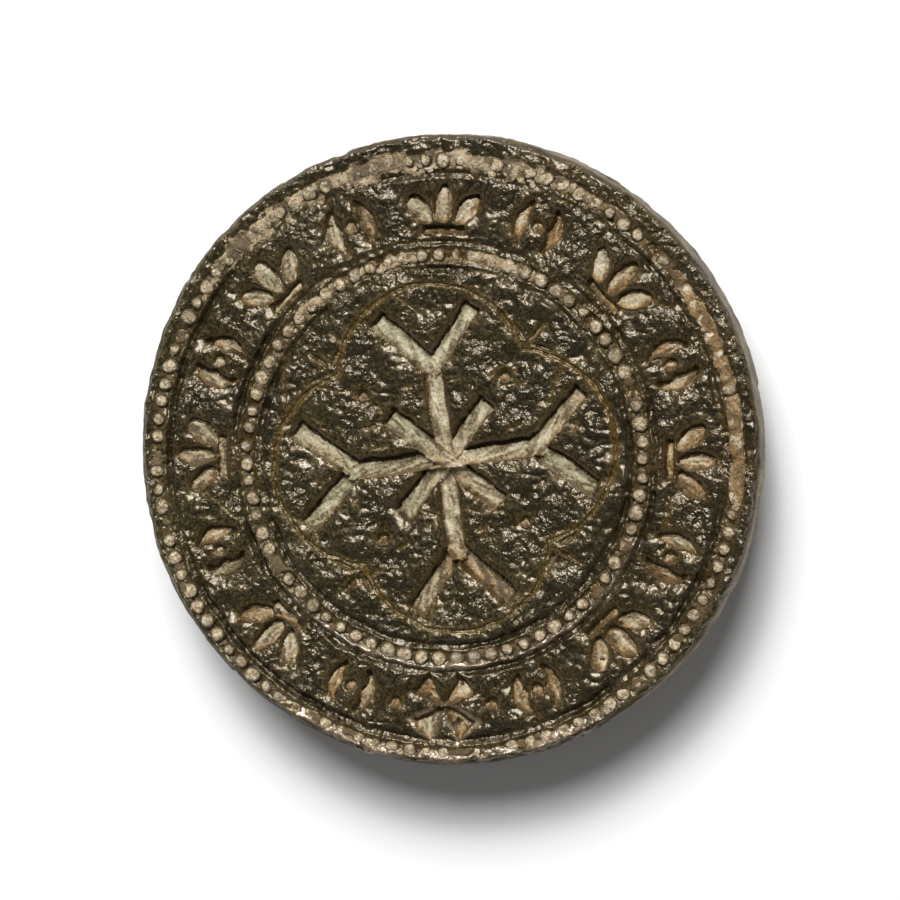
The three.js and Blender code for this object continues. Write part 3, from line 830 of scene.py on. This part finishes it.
def edge_rows():
    """The rows of the plate's rounded edge, its wall and the chamfer at the back."""
    rows = []
    for turn in np.linspace(math.pi / 2, 0, EDGE_STEPS)[1:]:
        away, up = math.cos(turn), math.sin(turn)
        r, z = PLATE_RADIUS - EDGE_ROUND * (1 - away), PLATE_FACE - EDGE_ROUND * (1 - up)
        rows.append(ring(r, z, FINE, out=(away, up), face=up > 0.3))
    for z in steps(PLATE_FACE - EDGE_ROUND, PLATE_BACK + BACK_CHAMFER, WALL_STEP)[1:]:
        rows.append(ring(PLATE_RADIUS, z, FINE, out=(1.0, 0.0)))
    for share in (0.34, 0.67, 1.0):
        drop = share * BACK_CHAMFER
        rows.append(ring(PLATE_RADIUS - drop, PLATE_BACK + BACK_CHAMFER - drop, WALL_STEP, out=(0.7, -0.7)))
    return rows


def plate_rows(inner, outer):
    """The rows of one ring of the plate, from its inner seam over the face and back under it."""
    at_edge = outer >= PLATE_RADIUS
    face_end = PLATE_RADIUS - EDGE_ROUND if at_edge else outer
    back_end = PLATE_RADIUS - BACK_CHAMFER if at_edge else outer
    rows = []
    for r in steps(inner, face_end, FINE):
        share = (r - inner) / (face_end - inner) if at_edge else 0.0
        rows.append(ring(r, PLATE_FACE, FINE, ENGRAVING_CENTRE * (1 - share), face=True))
    rows[0]["seam"] = inner > 0
    rows[-1]["seam"] = not at_edge
    if at_edge:
        rows += edge_rows()
    back_start = len(rows)
    for r in steps(back_end, inner, COARSE):
        share = (r - inner) / (back_end - inner) if at_edge else 0.0
        rows.append(ring(r, PLATE_BACK, COARSE, ENGRAVING_CENTRE * (1 - share), out=(0.0, -1.0)))
    rows[back_start]["seam"] = not at_edge
    rows[-1]["seam"] = inner > 0
    return rows


print("rows of points in the rim:", len(plate_rows(OUTER_LINE, PLATE_RADIUS)))

# %% [markdown]
# The rows are joined into one skin, corroded, and engraved. What the material has to know is kept as values
# at each point: where soil lies and which tint it has, how stained the metal is, how much its high points
# are polished, and what belongs to the plate's wall. The corrosion eats less where soil covers the metal or
# where it is rubbed smooth.

# %% Plate pieces
SOIL_TOP = -0.03
SOIL_EDGE = 0.03


def mesh_piece(name, points, triangles, seam, attributes):
    """A closed mesh object from points in millimetres, with its faces pointing out. Edges along one seam row
    are kept sharp, so that the shading runs on from one piece to the next."""
    a, b, c = (points[triangles[:, k]] for k in range(3))
    volume = np.einsum("ij,ij->i", a, np.cross(b, c)).sum() / 6
    if volume < 0:
        triangles = triangles[:, ::-1]
    mesh = bpy.data.meshes.new(name)
    mesh.from_pydata((points * MM).tolist(), [], triangles.tolist())
    ends = np.empty(2 * len(mesh.edges), int)
    mesh.edges.foreach_get("vertices", ends)
    first, second = seam[ends.reshape(-1, 2)].T
    sharp = mesh.attributes.new("sharp_edge", "BOOLEAN", "EDGE")
    sharp.data.foreach_set("value", (first == second) & (first >= 0))
    for key, values in attributes.items():
        mesh.attributes.new(key, "FLOAT", "POINT").data.foreach_set("value", values.astype(np.float32))
    mesh.shade_smooth()
    print(f"{name}: {len(triangles)} triangles, {abs(volume):.1f} cubic mm")
    return add_object(name, mesh)


def skin_triangles(rows, closed):
    """The triangles between all rows, and between the last and the first where the ring has a hole."""
    starts = np.cumsum([0] + [len(row["points"]) for row in rows])
    pairs = [(i, i + 1) for i in range(len(rows) - 1)]
    if closed:
        pairs.append((len(rows) - 1, 0))
    return np.vstack([stitch(rows[i]["points"], rows[j]["points"], starts[i], starts[j]) for i, j in pairs])


def plate_piece(name, inner, outer):
    """One closed ring of the plate, or its middle disc where inner is 0."""
    rows = plate_rows(inner, outer)
    points = np.vstack([row["points"] for row in rows])
    outward = np.vstack([row["outward"] for row in rows])
    counts = [len(row["points"]) for row in rows]
    on_face = np.repeat([row["face"] for row in rows], counts)
    seam = np.repeat([i if row["seam"] else -1 for i, row in enumerate(rows)], counts)

    face = engrave(points)
    relief, eaten = crust(points), corrosion(points)
    uneven = 0.09 * lumps(points, 0.6, 21) + 0.05 * lumps(points, 0.19, 22)
    olive = 0.35 - 0.45 * points[:, 0] / PLATE_RADIUS + 0.6 * lumps(points, 5.0, 41)
    soil_top = np.minimum(face.soil + uneven, SOIL_TOP)
    soil_over_metal = np.where(on_face, soil_top - face.metal, -1.0)
    on_wall = np.where(on_face, 0.0, np.clip(outward[:, 2] + 1.4, 0, 1))
    eaten *= np.where(soil_over_metal > 0, 0.35, 1.0) * (1 - 0.55 * on_wall)
    eaten *= 1 - 0.35 * face.lips - 0.4 * face.bright * (1 - face.lips)
    points[:, 2] += np.where(on_face, np.maximum(face.metal, soil_top), 0.0)
    points -= outward * eaten[:, None]
    radius = np.hypot(points[:, 0], points[:, 1])
    points[:, :2] *= (1 - edge_wear(points, radius) / np.maximum(radius, MM))[:, None]

    film = np.where(on_face, face.film, 0.0)
    attributes = {
        "soil": np.maximum(smooth_step(-SOIL_EDGE, SOIL_EDGE, soil_over_metal), film),
        "tint": face.tint,
        "shade": face.shade,
        "stain": np.where(on_face, face.stain, 0.5),
        # depth is painted shade: it darkens the metal in the cuts and grooves, less where the channel is
        # stained.
        "depth": np.where(on_face, smooth_step(0.05, 0.22, -face.metal) * (1 - 0.4 * face.stain), 0.0),
        "polish": smooth_step(-0.03, 0.09, relief),
        "lip": np.where(on_face, face.lips, 0.0),
        "bright": np.where(on_face, face.bright, 0.0),
        "olive": np.clip(olive, 0, 1),
        "wall": on_wall,
    }
    return mesh_piece(name, points, skin_triangles(rows, inner > 0), seam, attributes)


plate_pieces = [
    plate_piece("die_field", 0.0, FIELD_LINE),
    plate_piece("die_inner_border", FIELD_LINE, INNER_LINE),
    plate_piece("die_band", INNER_LINE, OUTER_LINE),
    plate_piece("die_rim", OUTER_LINE, PLATE_RADIUS),
]

# %% [markdown]
# ## Soil in the beads
#
# Each bead of the two borders was struck with a round punch. Soil has dried in these pits and stands in
# them as pale pellets. They could be modelled one by one, but they repeat round a circle, so a Geometry
# Nodes tree sets a small lump on each point of a circle, with a little chance in its place and size, and
# leaves some out. The tree ends in real geometry and its material.

# %% Bead tree
STRAY = 0.03
LUMP_SIZE = 0.35
LUMP_HEIGHT = 0.3
SMALLEST, LARGEST = 0.8, 1.12
MATH = "ShaderNodeMath"
RANDOM = "FunctionNodeRandomValue"


def bead_ring_tree():
    """A Geometry Nodes tree that sets lumps of soil round a circle."""
    tree = bpy.data.node_groups.new("soil_bead_ring", "GeometryNodeTree")
    tree.interface.new_socket("Geometry", in_out="OUTPUT", socket_type="NodeSocketGeometry")
    for name, kind in (
        ("Ring radius", "NodeSocketFloat"),
        ("Beads", "NodeSocketInt"),
        ("Bead width", "NodeSocketFloat"),
        ("Bead height", "NodeSocketFloat"),
        ("Kept share", "NodeSocketFloat"),
        ("Seed", "NodeSocketInt"),
        ("Material", "NodeSocketMaterial"),
    ):
        tree.interface.new_socket(name, in_out="INPUT", socket_type=kind)
    given = node(tree, "NodeGroupInput").outputs
    seed = given["Seed"]
    round_about = {"Vertices": given["Beads"], "Radius": given["Ring radius"]}
    circle = node(tree, "GeometryNodeMeshCircle", round_about)
    low, high = ((-STRAY * MM,) * 3, (STRAY * MM, STRAY * MM, STRAY / 1.5 * MM))
    stray = node(tree, RANDOM, {"Min": low, "Max": high, "Seed": seed}, data_type="FLOAT_VECTOR")
    spots = node(tree, "GeometryNodeSetPosition", {"Geometry": circle, "Offset": stray})
    share = node(tree, RANDOM, {2: SMALLEST, 3: LARGEST, "Seed": seed}, data_type="FLOAT")
    width = node(tree, MATH, {0: share, 1: given["Bead width"]}, operation="MULTIPLY")
    size = node(tree, "ShaderNodeCombineXYZ", {"X": width, "Y": width, "Z": given["Bead height"]})
    kept = node(tree, RANDOM, {"Probability": given["Kept share"], "Seed": seed}, data_type="BOOLEAN")
    lump = node(tree, "GeometryNodeMeshIcoSphere", {"Radius": 0.5, "Subdivisions": 2})
    beads = node(
        tree,
        "GeometryNodeInstanceOnPoints",
        {"Points": spots, "Selection": kept, "Instance": lump, "Scale": size},
    )
    real = node(tree, "GeometryNodeRealizeInstances", {0: beads})
    bumps = node(tree, "ShaderNodeTexNoise", {"Scale": 1 / (LUMP_SIZE * MM), "Detail": 1.0})
    above = node(tree, MATH, {0: bumps, 1: 0.5}, operation="SUBTRACT")
    push = node(tree, MATH, {0: above, 1: LUMP_HEIGHT * MM}, operation="MULTIPLY")
    normal = node(tree, "GeometryNodeInputNormal")
    offset = node(tree, "ShaderNodeVectorMath", {0: normal, "Scale": push}, operation="SCALE")
    uneven = node(tree, "GeometryNodeSetPosition", {"Geometry": real, "Offset": offset})
    smooth = node(tree, "GeometryNodeSetShadeSmooth", {0: uneven})
    dressed = node(tree, "GeometryNodeSetMaterial", {"Geometry": smooth, "Material": given["Material"]})
    node(tree, "NodeGroupOutput", {0: dressed})
    return tree


bead_tree = bead_ring_tree()
print("the bead tree has", len(bead_tree.nodes), "nodes")

# %% [markdown]
# ## Materials
#
# The scale of each pattern is a real size in millimetres. The crystals of a patina and the silt of clay are
# 0.02 to 0.06 mm across, about a pixel of the picture or less. So the finest patterns are drawn at 0.12 to
# 0.2 mm, which is as coarse as they need to be to show.
#
# ### Soil
#
# The soil is fine clay, packed hard and a little uneven in colour: more cream in the device, pink in the
# band and brown at the edges. To the eye it is soft and crumbly with a slight sheen, as clay has where it
# was wiped. An image of soil could be laid on, but a noise texture has no seams and fits every cut. Its
# height also drives the bumps.

# %% Soil
NOISE = "ShaderNodeTexNoise"
RAMP = "ShaderNodeValToRGB"
BUMP = "ShaderNodeBump"
PRINCIPLED = "ShaderNodeBsdfPrincipled"
MIX = "ShaderNodeMix"
# Where a mix of two colours has its sockets.
SHARE, UNDER, OVER = 0, 6, 7
CLOD_SIZE = 0.35
SILT_SIZE = 0.15


def new_material(name):
    """An empty material, its tree and the object's own coordinates, turned so that no pattern lines up."""
    material = bpy.data.materials.new(name)
    material.use_nodes = True
    material.node_tree.nodes.clear()
    place = node(material.node_tree, "ShaderNodeTexCoord").outputs["Object"]
    position = node(material.node_tree, "ShaderNodeMapping", {"Vector": place, "Rotation": (0.7, 0.5, 0.9)})
    return material, material.node_tree, position


def soil_shader(tree, position, tint, shade):
    """Packed clay, from orange brown at tint 0 to greenish cream at 1. shade is 0 in dark streaks."""
    clods, silt = (
        node(tree, NOISE, {"Vector": position, "Scale": 1 / (size * MM), "Detail": detail, "Roughness": 0.7})
        for size, detail in ((CLOD_SIZE, 5.0), (SILT_SIZE, 3.0))
    )
    spread = node(tree, MATH, {0: clods, 1: 0.6, 2: -0.3}, operation="MULTIPLY_ADD")
    tone = node(tree, MATH, {0: tint, 1: spread}, operation="ADD")
    uneven = node(tree, MATH, {0: shade, 1: 0.5, 2: silt}, operation="MULTIPLY_ADD")
    colour = node(
        tree,
        RAMP,
        {"Fac": tone},
        [(0.0, "#6b4d20"), (0.3, "#a98653"), (0.5, "#bea986"), (0.75, "#b4a682"), (1.0, "#aba47f")],
    )
    for stops, over in (
        ([(0.55, 0.85), (0.78, 0.0)], "#4f3d1f"),
        ([(0.84, 0.0), (1.0, 0.6)], "#eadfc6"),
    ):
        share = node(tree, RAMP, {"Fac": uneven}, stops)
        colour = node(tree, MIX, {SHARE: share, UNDER: colour, OVER: linear(over)}, data_type="RGBA")
    bump = node(tree, BUMP, {"Height": silt, "Distance": 0.16 * MM, "Strength": 1.0})
    return node(
        tree,
        PRINCIPLED,
        {"Base Color": colour, "Roughness": 0.33, "Specular IOR Level": 0.6, "Normal": bump},
    )


# %% [markdown]
# ### Dried clay in the beads
#
# The pellets are the same clay, pressed hard and handled for long, so their crowns are pale and worn to a
# shine. Their sides darken towards the metal, partly as dirt and partly as painted shade, so that the top
# reads as lit from above. Some are dirtier than others. The upward part of the normal tells the crown from
# the side, which works for every pellet at once and needs no painting.

# %% Dried clay
SILT_ON_PELLETS = 0.2
DIRTY_PATCH = 1.6


def dried_clay():
    """The clay of the pellets in the beads."""
    material, tree, position = new_material("dried_clay")
    normal = node(tree, "ShaderNodeTexCoord").outputs["Normal"]
    upward = node(tree, "ShaderNodeSeparateXYZ", {0: normal}).outputs["Z"]
    patches, silt = (
        node(tree, NOISE, {"Vector": position, "Scale": 1 / size / MM, "Detail": detail, "Roughness": rough})
        for size, detail, rough in ((DIRTY_PATCH, 2.0, 0.6), (SILT_ON_PELLETS, 3.0, 0.7))
    )
    # Pale crown of worn clay, and sides that turn dark brown: dirt, and painted shade from the lamp above.
    worn_and_lit_crown = node(tree, RAMP, {"Fac": upward}, [(0.76, 0.0), (0.96, 1.0)])
    clean = node(tree, RAMP, {"Fac": patches}, [(0.38, 0.5), (0.52, 1.0)])
    pale = node(tree, MATH, {0: worn_and_lit_crown, 1: clean}, operation="MULTIPLY")
    clay = node(tree, RAMP, {"Fac": silt}, [(0.35, "#89734b"), (0.5, "#c1aa84"), (0.65, "#efe2c8")])
    colour = node(tree, MIX, {SHARE: pale, UNDER: linear("#4a3a1e"), OVER: clay}, data_type="RGBA")
    bump = node(tree, BUMP, {"Height": silt, "Distance": 0.2 * MM, "Strength": 1.0})
    surface = node(tree, PRINCIPLED, {"Base Color": colour, "Roughness": 0.2, "IOR": 1.65, "Normal": bump})
    node(tree, "ShaderNodeOutputMaterial", {"Surface": surface})
    return material


# %% [markdown]
# ### Patinated bronze
#
# The plate was cast in bronze, filed flat and engraved, and the ground turned its skin to copper minerals.
# To the eye that is a dark, grainy crust, olive where it is thin, brown near the soil, with crystals and
# rubbed high points that glint. So the surface is mostly a dark mineral with a thin gloss, and it is metal
# only where it is rubbed.
#
# The colour is built up like paint, from a dark ground to thin layers over it. Each layer has a mask and a
# strength. The bumps that glint are smooth, 0.65 mm across and steep enough to catch the lamp: finer ones
# would blur the glints to grey at this size of picture.

# %% Patinated bronze
# Each pattern's size in millimetres, detail and roughness.
PATTERNS = {
    "patches": (1.8, 5.0, 0.6),
    "glossy": (1.5, 3.0, 0.6),
    "blotches": (1.3, 6.0, 0.6),
    "grains": (0.65, 3.3, 0.55),
    "fine": (0.12, 2.0, 0.6),
}


def patina_colour(tree, pattern, at):
    """The colour of the crust, from a dark ground to the thin layers over it."""
    green, brown, moss, flecks, rim, wall_dirt = (
        node(tree, RAMP, {"Fac": pattern["fine"]}, stops)
        for stops in (
            [(0.42, "#121007"), (0.68, "#4b4428")],
            [(0.35, "#281d09"), (0.6, "#705625")],
            [(0.35, "#25200e"), (0.6, "#6e6238")],
            [(0.5, 0.0), (0.66, 0.3)],
            [(0.45, 0.0), (0.6, 0.35)],
            [(0.48, 0.0), (0.62, 0.5)],
        )
    )
    mossy = node(tree, MATH, {0: at.olive, 1: 0.9}, operation="MULTIPLY")
    edges = node(tree, MATH, {0: at.lip, 1: rim}, operation="MULTIPLY")
    stained = node(tree, MIX, {SHARE: mossy, UNDER: brown, OVER: moss}, data_type="RGBA")
    wall_stops = [(0.36, "#2a241a"), (0.5, "#5a503f"), (0.64, "#827661")]
    side = node(tree, RAMP, {"Fac": pattern["blotches"]}, wall_stops)
    side = node(tree, MIX, {SHARE: wall_dirt, UNDER: side, OVER: linear("#2e271b")}, data_type="RGBA")
    ground = [(0.3, "#0c0b07"), (0.48, "#141209"), (0.62, "#231f13"), (0.78, "#463c20")]
    colour = node(tree, RAMP, {"Fac": pattern["patches"]}, ground)
    for mask, strength, over in (
        (flecks, 1.0, linear("#4b4329")),
        (at.olive, 0.8, green),
        (at.stain, 0.8, stained),
        (at.rubbed, 0.2, linear("#8f7f62")),
        # Lips: worn golden-brown metal, lightened partly as a painted highlight along the cut edges.
        (edges, 1.0, linear("#80653a")),
        # Painted shade: the metal in the cuts and grooves is darkened by depth.
        (at.depth, 0.75, linear("#130e05")),
        # Scuffed metal is rubbed clean and lightened, partly as a painted highlight.
        (at.scuffed, 1.0, linear("#a59178")),
        (at.wall, 1.0, side),
    ):
        share = node(tree, MATH, {0: mask, 1: strength}, operation="MULTIPLY")
        colour = node(tree, MIX, {SHARE: share, UNDER: colour, OVER: over}, data_type="RGBA")
    return colour


def patina_shader(tree, position, at):
    """Bronze with a crust. at holds its values, such as stain, each as a number or as an output."""
    pattern = {
        name: node(
            tree, NOISE, {"Vector": position, "Scale": 1 / size / MM, "Detail": detail, "Roughness": rough}
        )
        for name, (size, detail, rough) in PATTERNS.items()
    }
    high = node(tree, RAMP, {"Fac": pattern["fine"]}, [(0.48, 0.0), (0.6, 1.0)])
    clean = node(tree, RAMP, {"Fac": pattern["grains"]}, [(0.42, 0.15), (0.56, 0.9)])
    at.rubbed = node(tree, MATH, {0: high, 1: at.polish}, operation="MULTIPLY")
    at.scuffed = node(tree, MATH, {0: clean, 1: at.bright}, operation="MULTIPLY")
    sums = {}
    for name, total, parts in (
        ("roughness", 0.38, ((at.wall, 0.2), (at.stain, 0.05))),
        ("coat", 0.5, ((at.wall, -0.4), (at.stain, -0.1), (at.bright, 0.6))),
        ("metal", 0.0, ((at.rubbed, 0.3), (at.scuffed, 0.4))),
        ("calm", 1.0, ((at.wall, -0.65), (at.lip, -0.6))),
    ):
        for value, weight in parts:
            if isinstance(value, float):
                total += value * weight
            else:
                total = node(tree, MATH, {0: value, 1: weight, 2: total}, operation="MULTIPLY_ADD")
        sums[name] = total
    steep = node(tree, RAMP, {"Fac": pattern["glossy"]}, [(0.42, 0.27), (0.57, 1.0)])
    strength = node(tree, MATH, {0: steep, 1: sums["calm"]}, operation="MULTIPLY")
    bump = node(tree, BUMP, {"Height": pattern["grains"], "Distance": 0.4 * MM, "Strength": strength})
    return node(
        tree,
        PRINCIPLED,
        {
            "Base Color": patina_colour(tree, pattern, at),
            "Metallic": sums["metal"],
            "Specular IOR Level": 0.7,
            "Specular Tint": linear("#fde2b6"),
            "Roughness": sums["roughness"],
            "Normal": bump,
            "Coat Weight": sums["coat"],
            "Coat Roughness": 0.12,
            "Coat Normal": bump,
        },
    )


def engraved_bronze():
    """The die's metal, with soil where the mesh says that it lies. A little noise makes its edge ragged."""
    material, tree, position = new_material("patinated_bronze_with_soil")
    names = ("soil", "tint", "shade", "stain", "depth", "polish", "lip", "bright", "olive", "wall")
    at = SimpleNamespace()
    for name in names:
        setattr(at, name, node(tree, "ShaderNodeAttribute", attribute_name=name).outputs["Fac"])
    noise = node(tree, NOISE, {"Vector": position, "Scale": 1 / (0.14 * MM), "Detail": 3.0, "Roughness": 0.7})
    ragged = node(tree, MATH, {0: at.soil, 1: noise}, operation="ADD")
    above = node(tree, MATH, {0: ragged, 1: 0.5}, operation="SUBTRACT")
    covered = node(tree, RAMP, {"Fac": above}, [(0.4, 0.0), (0.56, 1.0)])
    metal = patina_shader(tree, position, at)
    clay = soil_shader(tree, position, at.tint, at.shade)
    surface = node(tree, "ShaderNodeMixShader", {0: covered, 1: metal, 2: clay})
    node(tree, "ShaderNodeOutputMaterial", {"Surface": surface})
    return material


def plain_bronze():
    """The same bronze on the handle and the ears, more handled and without soil."""
    material, tree, position = new_material("patinated_bronze")
    at = SimpleNamespace(stain=0.3, depth=0.0, polish=0.6, lip=0.0, bright=0.0, olive=0.3, wall=0.2)
    surface = patina_shader(tree, position, at)
    node(tree, "ShaderNodeOutputMaterial", {"Surface": surface})
    return material


# %% [markdown]
# ### Rusted iron
#
# The pin was cut from forged iron rod and hammered over at both ends. It has rusted through its skin: to
# the eye a matt orange-brown scale without any glint. One noise texture drives the colour and the bumps,
# because a thick flake of rust is also a paler one.

# %% Rusted iron
def rusted_iron():
    """Iron that has rusted in the ground, in flakes of about half a millimetre."""
    material, tree, position = new_material("rusted_iron")
    flakes = node(tree, NOISE, {"Vector": position, "Scale": 1 / (0.5 * MM), "Detail": 5.0, "Roughness": 0.6})
    colour = node(tree, RAMP, {"Fac": flakes}, [(0.3, "#2a1b12"), (0.5, "#4c2f1c"), (0.7, "#7a4a28")])
    bump = node(tree, BUMP, {"Height": flakes, "Distance": 0.15 * MM, "Strength": 0.9})
    looks = {"Base Color": colour, "Roughness": 0.8, "Metallic": 0.1, "Normal": bump}
    surface = node(tree, PRINCIPLED, looks)
    node(tree, "ShaderNodeOutputMaterial", {"Surface": surface})
    return material


CLAY = dried_clay()
ENGRAVED = engraved_bronze()
BRONZE = plain_bronze()
IRON = rusted_iron()
print("materials:", [material.name for material in (CLAY, ENGRAVED, BRONZE, IRON)])

# %% [markdown]
# ## Dressing the plate
#
# Now the plate's rings get their material, and the tree makes the pellets of soil for both borders. A
# Geometry Nodes input is set by its identifier. The result is turned into a plain mesh, which needs no
# modifier afterwards. Where the border is rubbed, the pellets are worn down with it.

# %% Plate and beads
SOIL_BEAD_WIDTH = 0.8
SOIL_BEAD_HEIGHT = 0.42
SOIL_BEAD_SINK = 0.28
RUBBED_SINK = 0.1
KEPT_SHARE = 0.94

for piece in plate_pieces:
    piece.data.materials.append(ENGRAVED)
    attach(piece, "die")
    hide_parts("die_plate")


def bead_ring(name, radius, seed):
    """The soil pellets of one border, as a plain mesh."""
    maker = add_object(name + "_maker", bpy.data.meshes.new(name + "_maker"))
    modifier = maker.modifiers.new("beads", "NODES")
    modifier.node_group = bead_tree
    values = {
        "Ring radius": radius * MM,
        "Beads": round(2 * math.pi * radius / BEAD_PITCH),
        "Bead width": SOIL_BEAD_WIDTH * MM,
        "Bead height": SOIL_BEAD_HEIGHT * MM,
        "Kept share": KEPT_SHARE,
        "Seed": seed,
        "Material": CLAY,
    }
    for item in bead_tree.interface.items_tree:
        if item.in_out == "INPUT":
            modifier[item.identifier] = values[item.name]
    made = bpy.data.meshes.new_from_object(maker.evaluated_get(bpy.context.evaluated_depsgraph_get()))
    bpy.data.objects.remove(maker)
    made.name = name
    for vertex in made.vertices:
        turn = math.atan2(vertex.co.y, vertex.co.x)
        worn = RUBBED_SINK * stretch(turn, *RUBBED_STRETCH) if radius == OUTER_BEADS else 0.0
        vertex.co += Vector((*ENGRAVING_CENTRE, PLATE_FACE - SOIL_BEAD_SINK - worn)) * MM
    piece = add_object(name, made)
    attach(piece, "die")
    print(f"{name}: {len(made.polygons)} faces")


bead_ring("soil_beads_outer", OUTER_BEADS, 3)
bead_ring("soil_beads_inner", INNER_BEADS, 8)

# %% [markdown]
# ## Handle, ears and pin
#
# The CAD solids have flat faces and crisp edges. The real pieces were cast, filed and worn, and then
# corroded. A bevel would round their edges too, but evenly. A voxel remesh turns each solid into an even
# skin of small quads, some smoothing rounds its edges as wear does, and the same corrosion that shaped the
# plate eats into it. All of this only takes metal away, so each piece stays inside its CAD solid's box.

# %% Worn pieces
WELD_GAP = 0.001
SMOOTHING = 3


def coordinates(mesh, name):
    """One vector for each point of a mesh, such as its place or its normal."""
    values = np.empty(len(mesh.vertices) * 3)
    mesh.vertices.foreach_get(name, values)
    return values.reshape(-1, 3)


def worn_piece(name, source, voxel, depth_share):
    """A corroded copy of a CAD node, made in millimetres and brought back to metres."""
    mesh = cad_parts[source].data.copy()
    work = add_object(name, mesh)
    mesh.transform(Matrix.Scale(1 / MM, 4))
    weld = work.modifiers.new("weld", "WELD")
    weld.merge_threshold = WELD_GAP
    remesh = work.modifiers.new("remesh", "REMESH")
    remesh.mode = "VOXEL"
    remesh.voxel_size = voxel
    soften = work.modifiers.new("soften", "SMOOTH")
    soften.factor = 0.5
    soften.iterations = SMOOTHING
    made = bpy.data.meshes.new_from_object(work.evaluated_get(bpy.context.evaluated_depsgraph_get()))
    bpy.data.objects.remove(work)
    points = coordinates(made, "co")
    points -= coordinates(made, "normal") * (depth_share * corrosion(points))[:, None]
    low, high = (np.array(corner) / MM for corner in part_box(source))
    points = np.clip(points, low, high) * MM
    made.vertices.foreach_set("co", points.ravel())
    made.name = name
    made.materials.clear()
    made.shade_smooth()
    print(f"{name}: {len(made.polygons)} faces")
    return add_object(name, made)


for name, source, body, material, slot_name, voxel, depth_share in (
    ("worn_handle", "handle", "handle", BRONZE, "bronze_worn", 0.09, 0.7),
    ("worn_ear_left", "hinge_ear_left", "die", BRONZE, "bronze_worn", 0.07, 0.6),
    ("worn_ear_right", "hinge_ear_right", "die", BRONZE, "bronze_worn", 0.07, 0.6),
    ("rusted_pin", "hinge_pin", "die", IRON, "iron_pin", 0.06, 0.6),
):
    piece = worn_piece(name, source, voxel, depth_share)
    piece.data.materials.append(material)
    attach(piece, body)
    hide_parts(source)
